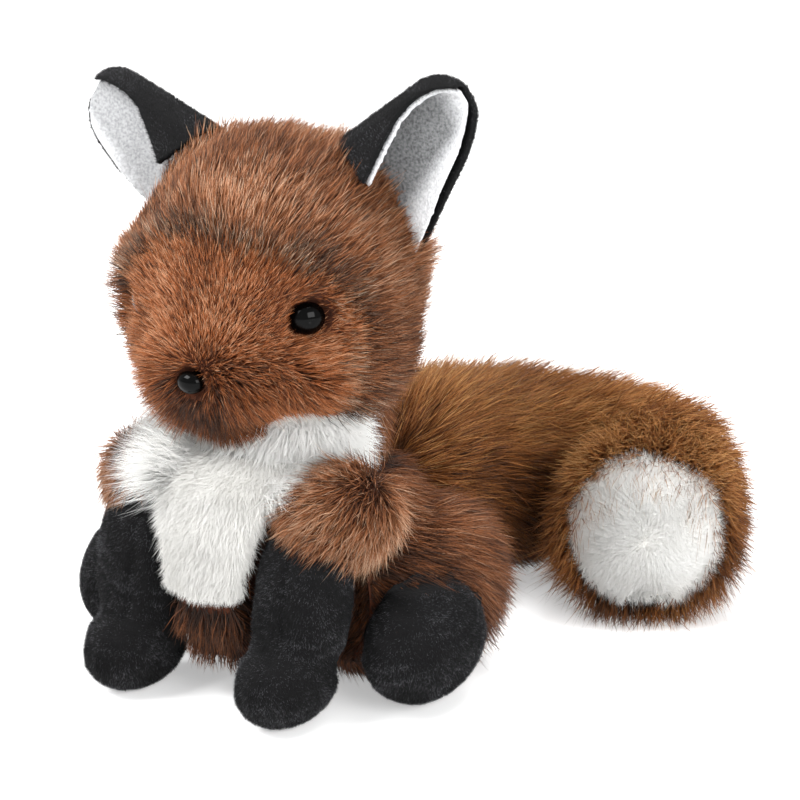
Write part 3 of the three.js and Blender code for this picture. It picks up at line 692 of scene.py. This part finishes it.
body_skin = covered("body_skin", ["body_cover", "body_stuffing"], RUST_BACKING, "body", "red_fur",
                    fill=0.7, voxel=1.6, rounds=24, draw_in=2.0)
fur("body_fur", body_skin, RUST_FUR, density=6.4, width=0.2, look=LONG_FUR, seed=11, comb=body_flow,
    length=body_length, lift=0.34, tone=body_tone, height=3.2, vary=0.22)
fur("foot_seat_fur", body_skin, RUST_FUR, density=9, width=0.2, look=LONG_FUR, seed=19,
    comb=body_flow, length=3.0, lift=0.3, tone=lambda p, n: body_tone(p, n) - 0.08, height=None,
    vary=0.2, keep=foot_seats)


# Bib

BIB_HALF = 19  # of its width


def bib_corner(roots):
    """The two upper corners, where the fluff spreads, most of all over the far shoulder."""
    out = aside(roots)
    share = np.where(out < 0, 1.0, 0.3)
    return ease(33, 43, roots[:, 2]) * ease(6, 14, np.abs(out)) * share


def bib_flow(roots, *_):
    """Down the chest, together at its foot, and out and up past the chin at its corners."""
    corner = bib_corner(roots)
    spread = 0.4 + 0.6 * corner - 0.9 * ease(36, 25, roots[:, 2])
    sideways = spread * (aside(roots) / BIB_HALF)
    return np.stack([sideways, -0.1 - 0.3 * corner, -1 + 1.9 * corner], 1)


def bib_length(roots, *_):
    return 4.6 - 1.2 * ease(31, 24, roots[:, 2]) + 6.6 * bib_corner(roots)


# Paler at the upper corners: painted light against the chin's shadow
def bib_tone(roots, *_):
    return 0.28 + 0.16 * ripple(roots, 7, 5) + 0.6 * bib_corner(roots)


def at_bib_corner(roots, normals):
    share = ease(42, 46, roots[:, 2]) * ease(0.1, 0.3, bib_corner(roots))
    return share * (normals[:, 1] < -0.1)


bib_skin = covered("bib_skin", ["chest_bib"], WHITE_BACKING, "body", "white_fur", fill=0.5,
                   rounds=14, draw_in=0.8)
fur("bib_fur", bib_skin, WHITE_FUR, density=34, width=0.11, look=FLUFF, seed=12, comb=bib_flow,
    length=bib_length, lift=lambda p, n: 0.32 + 0.16 * bib_corner(p), tone=bib_tone, height=2.0,
    vary=0.14, outward=from_spine, soft=0.82)
# A pale tone, painted light against the chin's shadow
fur("bib_corner_fur", bib_skin, WHITE_FUR, density=44, width=0.11, look=FLUFF, seed=18,
    comb=bib_flow, length=lambda p, n: np.where(p[:, 0] < NECK[0], 15.5, 9.0), lift=0.42,
    tone=mottled(0.9, 0.16, 7, 5), height=None, vary=0.14, keep=at_bib_corner, soft=0.82)


# Neck


def ruff_flow(roots, normals):
    """Out from the neck and down."""
    return normals * 0.2 + DOWN


def throat_flow(roots, normals):
    """Down the throat, and back over the seam at its two sides."""
    back = ease(-7, -1, roots[:, 1] - NECK[1])
    return ruff_flow(roots, normals) + back[:, None] * [0, 1.6, 0]


def throat_length(roots, *_):
    """Longer in front, where the ruff hangs over the top of the bib."""
    return 6.4 + 2.2 * ease(-4, -12, roots[:, 1] - NECK[1])


throat = covered("throat_ruff_skin", ["throat_ruff"], WHITE_BACKING, "neck", "white_fur", fill=0.6,
                 rounds=12, draw_in=1.0)
# A pale tone, painted light against the chin's shadow
fur("throat_ruff_fur", throat, WHITE_FUR, density=16, width=0.14, look=FLUFF, seed=13,
    comb=throat_flow, length=throat_length, lift=0.5, tone=mottled(0.95, 0.14, 9, 5), height=1.6,
    vary=0.1, soft=0.9)
nape = covered("nape_ruff_skin", ["nape_ruff"], RUST_BACKING, "neck", "red_fur", fill=0.6,
               rounds=12, draw_in=1.4)
fur("nape_ruff_fur", nape, RUST_FUR, density=9, width=0.19, look=LONG_FUR, seed=14, comb=ruff_flow,
    length=8.4, lift=0.36, tone=mottled(0.36, 0.2, 9, 5), height=2.2, vary=0.26)


# Head

HEAD_MIDDLE, BRAIN = from_head([0, 0, 29]), from_head([0, -6, 24])


def button_axis(node):
    """The ends of an eye's or the nose's axis: its crown, and the end of its shank."""
    points, _ = node_shape(node)
    depth = norms(points - HEAD_MIDDLE)
    return points[np.argmax(depth)], points[np.argmin(depth)]


CROWN = {node: button_axis(node)[0] for node in BUTTONS}
BUTTON_ROOM = 2.3  # from a button's crown to the tips of the fur round it
BUTTON_BARE = 2.7  # from a button's crown to the nearest roots
BUTTON_NEAR = 14  # strands further off than this aren't clipped


def from_nose(roots, *_):
    """Away from the nose over the face, brow, cheeks and crown, parting round the eyes."""
    away = unit(roots - CROWN["nose"])
    for eye in ("left_eye", "right_eye"):
        gap = roots - CROWN[eye]
        near = bell(norms(gap), 4.6)[:, None]
        away = away + 1.7 * near * unit(gap)
    return away


def button_distance(roots):
    return np.min([norms(roots - crown) for crown in CROWN.values()], axis=0)


def button_rim(roots):
    return bell(button_distance(roots) - 3.2, 1.3)


def clear_of_buttons(length):
    """Strands that would lie across an eye or the nose are clipped short of it."""

    def clipped(roots, normals):
        size = at(length, roots, normals)
        toward = flat_on(from_nose(roots, normals), normals)
        least = 0.8 + 2.2 * button_rim(roots)
        for crown in CROWN.values():
            gap = crown - roots
            near = norms(gap) < BUTTON_NEAR
            gap = gap - normals * (gap * normals).sum(1, keepdims=True)
            ahead = (gap * toward).sum(1)
            off = norms(gap - toward * ahead[:, None])
            reach = ahead - np.sqrt(np.maximum(BUTTON_ROOM**2 - off**2, 0))
            across = (off < BUTTON_ROOM) & (ahead > 0) & near
            size = np.where(across, np.minimum(size, np.maximum(reach, least)), size)
        return size

    return clipped


# The face panel in the head's frame: half its width and height, its middle's height and its back
PANEL_WIDE, PANEL_HIGH, PANEL_MIDDLE, PANEL_BACK = 27.5, 28.5, 21, -7


def panel_edge(roots):
    """0 at the middle of the face panel and 1 at its seam."""
    x, y, z = in_head(roots).T
    edge = np.hypot(x / PANEL_WIDE, (z - PANEL_MIDDLE) / PANEL_HIGH)
    return np.where(y < PANEL_BACK, edge, 2.0)


def face_edge(roots):
    """0 at the middle of the face and 1 where the long fur starts to rise over the seam, which is
    further inside the seam at the brow."""
    x, _, z = in_head(roots).T
    brow = ease(0, 16, z - PANEL_MIDDLE) * ease(24, 6, x)
    return panel_edge(roots) / (0.92 - 0.19 * brow)


def seam_band(roots):
    return bell(face_edge(roots) - 1.0, 0.075)


ear_layers = ("left_ear_back", "left_ear_lining", "right_ear_back", "right_ear_lining")
ear_tree = search_tree(*joined([node_shape(layer) for layer in ear_layers]))
EAR_NEAR = 9.0  # distances to the ears are measured up to this one


def ear_distance(roots):
    gaps = [ear_tree.find_nearest(Vector(root), EAR_NEAR)[3] for root in roots]
    return np.array([EAR_NEAR if gap is None else gap for gap in gaps])


# Darker along the seam round the face, a painted shade at the roots of the long fur
def head_tone(roots, *_):
    low = ease(14, 2, in_head(roots)[:, 2]) * 0.1
    return 0.43 + 0.2 * ripple(roots, 12, 22) - 0.36 * seam_band(roots) - low


def far_cheek(roots):
    """The cheek on the side away from the photograph, where the fur stands out."""
    x, _, z = in_head(roots).T
    return ease(-14, -23, x) * ease(44, 34, z) * ease(10, 20, z)


def far_crown(roots):
    """The top of the head below the far ear, where the fur lies close."""
    x, _, z = in_head(roots).T
    return ease(-3, -15, x) * ease(30, 40, z) * ease(3, 8, ear_distance(roots))


def far_muzzle(roots):
    """The far side of the muzzle, which falls away below the cheek."""
    x, y, z = in_head(roots).T
    return ease(-9, -18, x) * ease(21.5, 13.5, z) * ease(-5, -13, y)


def head_length(roots, *_):
    less = 3.2 * far_crown(roots) + 4.0 * far_muzzle(roots)
    return 7.6 + 0.8 * far_cheek(roots) - less + 2.6 * ease(6, 2, ear_distance(roots))


def head_lift(roots, *_):
    """Up on end at the seam round the face and in front of the ears."""
    ears = 0.4 * ease(7, 2, ear_distance(roots))
    up = 0.42 + 0.22 * seam_band(roots) + 0.16 * far_cheek(roots) - 0.14 * far_crown(roots)
    return np.clip(up + ears - 0.3 * far_muzzle(roots), 0.1, 0.88)


def chin(roots):
    _, y, z = in_head(roots).T
    return ease(13, 3, z) * ease(-8, -16, y)


def muzzle_side(roots):
    """The two sides of the muzzle, full and fluffy beside and below the nose."""
    x, y, z = in_head(roots).T
    return ease(1.5, 7, np.abs(x)) * ease(-14, -24, y) * ease(24, 14, z)


def near_jaw(roots):
    """The edge of the jaw on the near side, trimmed close above the throat."""
    x, _, z = in_head(roots).T
    return ease(1, 8, x) * ease(13, 6, z)


def trimmed(roots):
    return np.maximum(far_muzzle(roots), near_jaw(roots))


def face_tone(roots, *_):
    """Darker at the mouth, the chin and the sides of the muzzle, and round the buttons, where the
    dark is a painted shade.
    """
    mouth = bell(norms(roots - CROWN["nose"] - [0.5, 1, -6]), 8.0)
    dark = 0.7 * mouth + 0.1 * button_rim(roots) + 0.2 * chin(roots) + 0.06 * muzzle_side(roots)
    return 0.5 + 0.16 * ripple(roots, 7, 23) - dark


def face_length(roots, *_):
    edge = 1.2 * ease(0.75, 1.0, face_edge(roots))
    more = np.maximum(2.8 * chin(roots), 4.2 * muzzle_side(roots)) + 1.0 * far_cheek(roots)
    more = more * (1 - trimmed(roots)) - 0.6 * far_muzzle(roots) - 1.4 * near_jaw(roots)
    return (4.2 + edge + more) * (1 - 0.25 * button_rim(roots))


def face_lift(roots, *_):
    more = np.maximum(0.24 * chin(roots), 0.34 * muzzle_side(roots)) + 0.2 * far_cheek(roots)
    more = more * (1 - trimmed(roots)) - 0.12 * trimmed(roots)
    return np.clip(0.42 + more + 0.34 * button_rim(roots), 0, 0.86)


def in_face(roots, *_):
    """The share of short strands, which gives way to long ones across the seam."""
    return ease(1.04, 0.97, face_edge(roots)) * (button_distance(roots) > BUTTON_BARE)


def in_crown(roots, *_):
    return ease(0.96, 1.03, face_edge(roots)) * (button_distance(roots) > BUTTON_BARE)


def in_seam(roots, *_):
    """Patches of grey strands, and of dark strands that paint the shade at the roots of the long
    fur, along the seam round the face.
    """
    patch = ease(-0.25, 0.55, ripple(roots, 7, 28))
    return seam_band(roots) * (0.12 + 0.88 * patch) * (button_distance(roots) > 5)


def sheet_over(skin, chosen, low, high):
    """A thin closed sheet over the chosen faces of a skin, between two heights above it."""
    points, faces = skin
    normals = vertex_normals(points, faces)
    used, index = np.unique(faces[chosen], return_inverse=True)
    top = index.reshape(-1, 3)
    count = len(used)
    edges = edges_of(top)
    key = np.sort(edges, axis=1)
    _, first, times = np.unique(key, axis=0, return_index=True, return_counts=True)
    rim = edges[first[times == 1]]
    wall = np.vstack([
        np.stack([rim[:, 1], rim[:, 0], rim[:, 0] + count], 1),
        np.stack([rim[:, 1], rim[:, 0] + count, rim[:, 1] + count], 1),
    ])
    both = np.vstack([points[used] + normals[used] * high, points[used] + normals[used] * low])
    return both, np.vstack([top, top[:, ::-1] + count, wall])


MUZZLE_FALL = 1.2  # how far the far side of the muzzle is drawn in
points, faces = skin_of(["head_cover", "face_panel", "head_stuffing"], voxel=1.4, rounds=16,
                        draw_in=2.1)
fall = vertex_normals(points, faces) * MUZZLE_FALL * far_muzzle(points)[:, None]
head_skin = (points - fall, faces)
padded_skin("head_skin", head_skin, RUST_BACKING, "head", "red_fur", "head_cover", "head_stuffing",
            fill=0.75)
head = (*head_skin, "head", "red_fur")
fur("head_fur", head, RUST_FUR, density=8, width=0.19, look=LONG_FUR, seed=15, comb=from_nose,
    length=clear_of_buttons(head_length), lift=head_lift, tone=head_tone, height=3.4, vary=0.3,
    keep=in_crown, outward=away_from(BRAIN))
fur("brow_fur", head, SEAM_GREY_AND_SHADE_FUR, density=6, width=0.16, look=LONG_FUR, seed=17, comb=from_nose,
    length=clear_of_buttons(6.6), lift=0.6, tone=mottled(0.28, 0.3, 3, 29), height=3.4, vary=0.26,
    keep=in_seam, outward=away_from(BRAIN))

panel = panel_edge(head_skin[0][head_skin[1]].mean(1)) < 1
face_skin = sheet_over(head_skin, panel, 0.1, 0.5)
sheet_skin("face_skin", face_skin, RUST_BACKING, "head", "face_fur", "face_panel")
fur("face_fur", (*head_skin, "head", "face_fur"), FACE_FUR, density=15, width=0.16, look=SHORT_FUR,
    seed=16, comb=from_nose, length=clear_of_buttons(face_length), lift=face_lift, tone=face_tone,
    height=3.4, vary=0.3, keep=in_face, outward=away_from(BRAIN))


# Eyes and nose: the shares of the radius from the axis and along it, over a dome and down a shank

AROUND = 56
DOME_FOOT, DOME_TOP = 0.2, 0.95
SHANK = [(0.97, 0.08), (0.9, 0.0), (0.45, 0.0), (0.36, -0.08), (0.34, -2.3), (0.22, -2.44),
         (0.0, -2.46)]


def turned_button(node):
    """A smooth polished dome on its shank, over the CAD button's own axis and outline."""
    crown, tip = button_axis(node)
    axis = unit(crown - tip)
    points, _ = node_shape(node)
    off = (points - tip) - ((points - tip) @ axis)[:, None] * axis
    reach = norms(off)
    radius = reach.max()
    long = unit(off[np.argmax(reach)])
    short = np.cross(axis, long)
    squash = np.abs(off @ short).max() / radius
    profile = [(0.0, DOME_TOP)]
    for angle in np.radians(range(86, -1, -5)):
        profile.append((math.cos(angle), DOME_FOOT + 0.75 * math.sin(angle)))
    profile += SHANK
    seat = crown - axis * DOME_TOP * radius
    share, rise = np.array(profile).T[:, :, None, None]
    turn = (2 * math.pi * np.arange(AROUND) / AROUND)[:, None]
    spokes = long * np.cos(turn) + short * np.sin(turn) * squash
    points = (seat + spokes * share * radius + axis * rise * radius).reshape(-1, 3)
    a = np.arange(AROUND * (len(profile) - 1))
    b = a - a % AROUND + (a + 1) % AROUND
    faces = np.stack([a, a + AROUND, b + AROUND, a, b + AROUND, b], 1).reshape(-1, 3)
    obj = mesh_object(f"{node}_button", points, faces)
    obj.data.validate()
    dressed(obj, EYE_PLASTIC, "head", "button_plastic", node)


for node in BUTTONS:
    turned_button(node)
    washer = frame["nodes"][f"{node}_washer"].data
    washer.materials.clear()
    washer.materials.append(WASHER_PLASTIC)


# Ears: their angles in degrees and sizes, as in the CAD

EAR_SPLAY, EAR_LEAN, EAR_ASIDE = 58.0, 11.5, 5.0
EAR_LENGTH, EAR_BASE, EAR_TOP = 27.0, 23.0, 10.5


def ear_hollow_shade(points, word):
    """How much painted shade each point of a lining gets in the recess beside its folded edge, from
    0 to 1.
    """
    side = 1 if word == "left" else -1
    turn = about_y(math.radians(side * EAR_SPLAY))
    x, y, z = ((points - PIVOT[f"{word}_ear_fold"]) @ HEAD_AXES @ turn).T
    up = z / EAR_LENGTH
    lean = math.tan(math.radians(EAR_LEAN + side * EAR_ASIDE))
    across = (side * x + lean * z) / (EAR_BASE + (EAR_TOP - EAR_BASE) * up) * 2
    open_part = ease(-3.6, -2.2, y)
    if word == "left":
        return open_part * ease(0.7, 0.05, across) * ease(1.0, 0.7, up)
    return 0.5 * open_part * ease(1.5, 0.3, across)


for word, seed in (("left", 31), ("right", 41)):
    ear = f"{word}_ear"
    lining = skin_of([f"{ear}_lining"], voxel=0.5, rounds=10, bridge=0.0)
    velour = sheet_skin(f"{ear}_velour", lining, EAR_VELOUR, ear, "ear_velour",
                        f"{ear}_lining")
    # The painted shade of the recess beside the fold, kept on the mesh for the velour
    layer = velour.data.attributes.new("hollow_shade", "FLOAT", "POINT")
    layer.data.foreach_set("value", ear_hollow_shade(lining[0], word).astype(np.float32))
    back = covered(f"{ear}_skin", [f"{ear}_back"], BLACK_BACKING, ear, "black_plush", fill=0.3,
                   voxel=0.5, rounds=8, draw_in=0.25, bridge=0.0)
    # Patches of paler tips paint a sheen on the ear's pile
    fur(f"{ear}_pile", back, BLACK_PILE, density=22, width=0.15, look=PILE, seed=seed,
        comb=(0, 0, 1), length=1.0, lift=0.6, tone=mottled(0.22, 0.2, 5, 6), height=0.5, vary=0.24,
        soft=0.4)


# Forelegs and hind feet

SEAM_ASIDE, SEAM_WIDTH, SEAM_DEPTH = 1.5, 0.9, 0.55  # of the seam down a foreleg's front
FOOT_PILE_TOP = 24.5


def pile_tone(roots, *_):
    """Patches of paler tips, a painted sheen, as on pile that is brushed up and catches the light.
    """
    return 0.2 + 0.2 * ripple(roots, 5.5, 8) + 0.18 * ripple(roots, 1.6, 9)


def boot(skin, node):
    """Narrows the paw of a foreleg, fills out its shin and stands it upright, and sinks the seam
    down its front."""
    points, faces = skin
    z = points[:, 2]
    low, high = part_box(node)
    middle = (low[0] + high[0]) / 2 / MM
    points[:, 1] -= 2.4 * ease(9, 19, z) * ease(40, 30, z)
    paw = ease(20, 9, z)
    shin = ease(10, 17, z) * ease(40, 32, z)
    points[:, 0] = middle + (points[:, 0] - middle) * (1 - 0.15 * paw + 0.12 * shin)
    normals = vertex_normals(points, faces)
    seam = bell(points[:, 0] - middle - SEAM_ASIDE, SEAM_WIDTH)
    seam = seam * ease(-0.2, -0.7, normals[:, 1]) * ease(12, 18, z)
    return points - normals * (SEAM_DEPTH * seam)[:, None], faces


def sleeve_top(roots):
    return ease(41, 47, roots[:, 2])


def sleeve_tone(roots, *_):
    """Palest where the cuff hangs over the foreleg, a painted highlight on its tips, and darker at
    the top, a painted shade.
    """
    cuff = ease(38, 30, roots[:, 2])
    return 0.64 + 0.26 * ripple(roots, 6, 24) + 0.36 * cuff - 0.16 * sleeve_top(roots)


def black_limb(name, body, comb, *, seed, height, keep=None, **form):
    skin = covered(f"{name}_skin", [name, f"{name}_stuffing"], BLACK_BACKING, body, "black_plush",
                   rounds=14, **form)
    fur(f"{name}_pile", skin, BLACK_PILE, density=30, width=0.12, look=PILE, seed=seed, comb=comb,
        length=1.15, lift=0.6, tone=pile_tone, height=height, vary=0.4, keep=keep, soft=0.3)


SLEEVE_COMB = {"left": (-0.45, -0.5, -0.74), "right": (0.2, 0.6, -0.8)}
for word, seed, reach, rise in (("left", 51, 7.2, 0.06), ("right", 61, 5.4, -0.06)):
    arm, foreleg = f"{word}_arm", f"{word}_foreleg"
    sleeve = covered(f"{word}_sleeve_skin", [f"{arm}_sleeve"], RUST_BACKING, arm, "red_fur",
                     fill=0.6, voxel=1.2, rounds=16, draw_in=1.5)
    fur(f"{word}_sleeve_fur", sleeve, RUST_FUR, density=9, width=0.18, look=CAPE, seed=seed,
        comb=SLEEVE_COMB[word], length=lambda p, n: reach + 5 * rise * sleeve_top(p),
        lift=lambda p, n: 0.32 + rise * sleeve_top(p), tone=sleeve_tone, height=2.5, vary=0.3)
    black_limb(foreleg, arm, (0, -0.3, -1), seed=seed + 1, height=3.2, fill=0.75, draw_in=0.8,
               bridge=2.4, shape=lambda skin: boot(stuffed(skin), foreleg))
    black_limb(f"{word}_hind_foot", "body", (0, -0.5, -1), seed=seed + 2, height=2.6, fill=0.8,
               draw_in=1.7, shape=stuffed, keep=lambda p, n: p[:, 2] < FOOT_PILE_TOP)


# Tail: its line, with sizes as in the CAD

TAIL_ROOT = PIVOT["tail_swing"]
TAIL_INSIDE, TAIL_RUN, TAIL_HOOK, TAIL_LIE, TAIL_END = 17.0, 45.0, 19.5, 18.5, 19.0
TAIL_END_TURN = math.radians(30)
TAIL_SAMPLES, TAIL_ROUNDS = 240, 60
TIP_CORE = -45  # the sample that the fur of the tip stands out from


def tail_line():
    """The line that the tail follows from the rump round its hook to the tip."""
    root_x, root_y, _ = TAIL_ROOT
    middle = np.array([root_x + TAIL_HOOK, root_y + TAIL_RUN - TAIL_HOOK, TAIL_LIE])
    turns = np.radians([0, 45, 90, 135, 180])
    hook = [middle + TAIL_HOOK * np.array([-math.cos(a), math.sin(a), 0]) for a in turns]
    toward = np.array([math.sin(TAIL_END_TURN), -math.cos(TAIL_END_TURN), 0])
    end = hook[-1] + TAIL_END * toward
    corners = np.array([TAIL_ROOT - [0, TAIL_INSIDE, 0], TAIL_ROOT, *hook, end])
    steps = norms(np.diff(corners, axis=0))
    along = np.concatenate([[0], np.cumsum(steps)])
    t = np.linspace(0, along[-1], TAIL_SAMPLES)
    line = np.stack([np.interp(t, along, corners[:, k]) for k in range(3)], axis=1)
    for _ in range(TAIL_ROUNDS):
        line[1:-1] = (line[:-2] + line[2:]) / 2
    return line


TAIL_LINE = tail_line()
TAIL_TOWARD = unit(np.gradient(TAIL_LINE, axis=0))


def tail_place(roots):
    return nearest(TAIL_LINE, roots)


def from_tail(points):
    """Away from the line of the tail."""
    return points - TAIL_LINE[tail_place(points)]


def tail_share(roots):
    return tail_place(roots) / TAIL_SAMPLES


def tail_flow(roots, *_):
    """Along the tail, flaring out where the brown brush ends round the white tip."""
    away = unit(from_tail(roots))
    flare = ease(0.8, 0.93, tail_share(roots)) * (0.4 + 0.9 * ease(0.7, -0.4, away[:, 2]))
    return TAIL_TOWARD[tail_place(roots)] + flare[:, None] * away


# Darker where the fur faces down, a painted shade on the underside
def tail_tone(roots, normals):
    under = ease(0.75, -0.4, normals[:, 2]) * 0.36
    return 0.64 + 0.16 * ripple(roots, 12, 26) - under


def tail_length(roots, normals):
    """Shorter where the tail lies on the floor, but long all round at the white tip."""
    share = tail_share(roots)
    under = ease(-0.6, -0.95, normals[:, 2]) * ease(0.9, 0.8, share)
    top = ease(0.3, 0.9, normals[:, 2]) * ease(0.9, 0.8, share)
    return 11.0 - 5.5 * under + 1.8 * top + 1.6 * ease(0.84, 0.95, share)


def tip_flow(roots, *_):
    """Out from the middle of the tip on all sides, in tousled tufts."""
    tufts = np.stack([ripple(roots, 7, 61 + k) for k in range(3)], 1)
    return unit(roots - TAIL_LINE[-1]) + 1.1 * tufts


tail_skin = covered("tail_skin", ["tail_cover", "tail_stuffing"], TAIL_BACKING, "tail", "red_fur",
                    fill=0.65, voxel=1.6, rounds=22, draw_in=2.2)
fur("tail_fur", tail_skin, TAIL_FUR, density=5.8, width=0.19, look=BRUSH, seed=71, comb=tail_flow,
    length=tail_length, lift=lambda p, n: 0.38 + 0.1 * ease(0.8, 0.95, tail_share(p)),
    tone=tail_tone, height=3.4, vary=0.22, outward=from_tail)

tip_skin = covered("tail_tip_skin", ["tail_tip"], WHITE_BACKING, "tail", "white_fur", fill=0.65,
                   rounds=12, draw_in=0.8)
fur("tail_tip_fur", tip_skin, WHITE_FUR, density=34, width=0.11, look=FLUFF, seed=72, comb=tip_flow,
    length=lambda p, n: 4.6 - 1.8 * ease(8, 3, p[:, 2]), lift=0.58, tone=mottled(0.88, 0.2, 8, 27),
    height=2.8, vary=0.14, outward=away_from(TAIL_LINE[TIP_CORE]), soft=0.6)


# Finger channel

covered("hem_roll", ["opening_hem"], LINING_CLOTH, "body", "pocket_lining", fill=0.4, voxel=0.6,
        rounds=8, bridge=0.0)
for node, name, body, seat in (
    ("finger_sleeve", "finger_lining", "body", "hem_roll"),
    ("fingertip_pocket", "fingertip_lining", "head", "head_skin"),
):
    skin = skin_of([node], voxel=0.6, rounds=8, bridge=0.0)
    sheet_skin(name, skin, LINING_CLOTH, body, "pocket_lining", node)


# Floor, light and camera

WHITE = (1, 1, 1, 1)
FLOOR_PAINT = (0.86, 0.86, 0.86, 1)
FLOOR_HALF, FLOOR_GLOW = 6000, 0.42
SKY_STRENGTH = 0.5


def stage_floor():
    """A pale floor that takes shadows and glows where it is seen, so that it fades into white."""
    corners = np.array([[-1, -1, 0], [1, -1, 0], [1, 1, 0], [-1, 1, 0]], float)
    floor = mesh_object("floor", FLOOR_HALF * corners, np.array([[0, 1, 2, 3]]))
    nodes = Nodes(bpy.data.materials.new("floor"))
    floor.data.materials.append(nodes.shade(FLOOR_PAINT, 0.9, 0.0))
    strength = nodes.calc("MULTIPLY", nodes.seen_directly(), FLOOR_GLOW)
    glow = nodes.add("Emission", {"Color": WHITE, "Strength": strength}, "Emission")
    matt = nodes.tree.nodes["Principled BSDF"].outputs["BSDF"]
    nodes.give("Material Output", {"Surface": nodes.add("AddShader", {0: matt, 1: glow}, "Shader")})


def studio_world():
    """Even light from all round, in front of a background that is seen as plain white."""
    world = bpy.data.worlds.new("studio")
    bpy.context.scene.world = world
    nodes = Nodes(world)
    nodes.give("Background", {"Color": WHITE, "Strength": SKY_STRENGTH})
    light = nodes.tree.nodes["Background"].outputs["Background"]
    shown = nodes.add("Background", {"Color": WHITE}, "Background")
    mixed = nodes.add("MixShader", {"Fac": nodes.seen_directly(), 1: light, 2: shown}, "Shader")
    nodes.give("World Output", {"Surface": mixed})


LIT = Vector((0, 0, 50))  # where the lamps are aimed


def softbox(name, place, size, power):
    lamp = bpy.data.lights.new(name, "AREA")
    lamp.shape = "RECTANGLE"
    lamp.size, lamp.size_y = (side * MM for side in size)
    lamp.energy = power
    obj = placed(name, lamp)
    obj.location = Vector(place) * MM
    obj.rotation_euler = (Vector(place) - LIT).to_track_quat("Z", "Y").to_euler()


AZIMUTH, ELEVATION, DISTANCE, LENS = 34.0, 18.0, 900.0, 206.0
AIM = NECK + np.array([12.4, 19.4, 0.4])


def photo_camera():
    data = bpy.data.cameras.new("camera")
    data.lens, data.sensor_width = LENS, 36.0
    data.clip_start, data.clip_end = 0.01, 50.0
    camera = placed("camera", data)
    a, e = math.radians(AZIMUTH), math.radians(ELEVATION)
    back = Vector((math.sin(a) * math.cos(e), -math.cos(a) * math.cos(e), math.sin(e)))
    camera.location = (Vector(AIM) + back * DISTANCE) * MM
    camera.rotation_euler = back.to_track_quat("Z", "Y").to_euler()
    bpy.context.scene.camera = camera


stage_floor()
studio_world()
softbox("key", (-420, -620, 760), (520, 420), 11.5)
softbox("fill", (820, -420, 420), (600, 500), 9.0)
softbox("top", (60, 120, 900), (700, 500), 8.0)
photo_camera()
bpy.context.scene.view_settings.view_transform = "Standard"
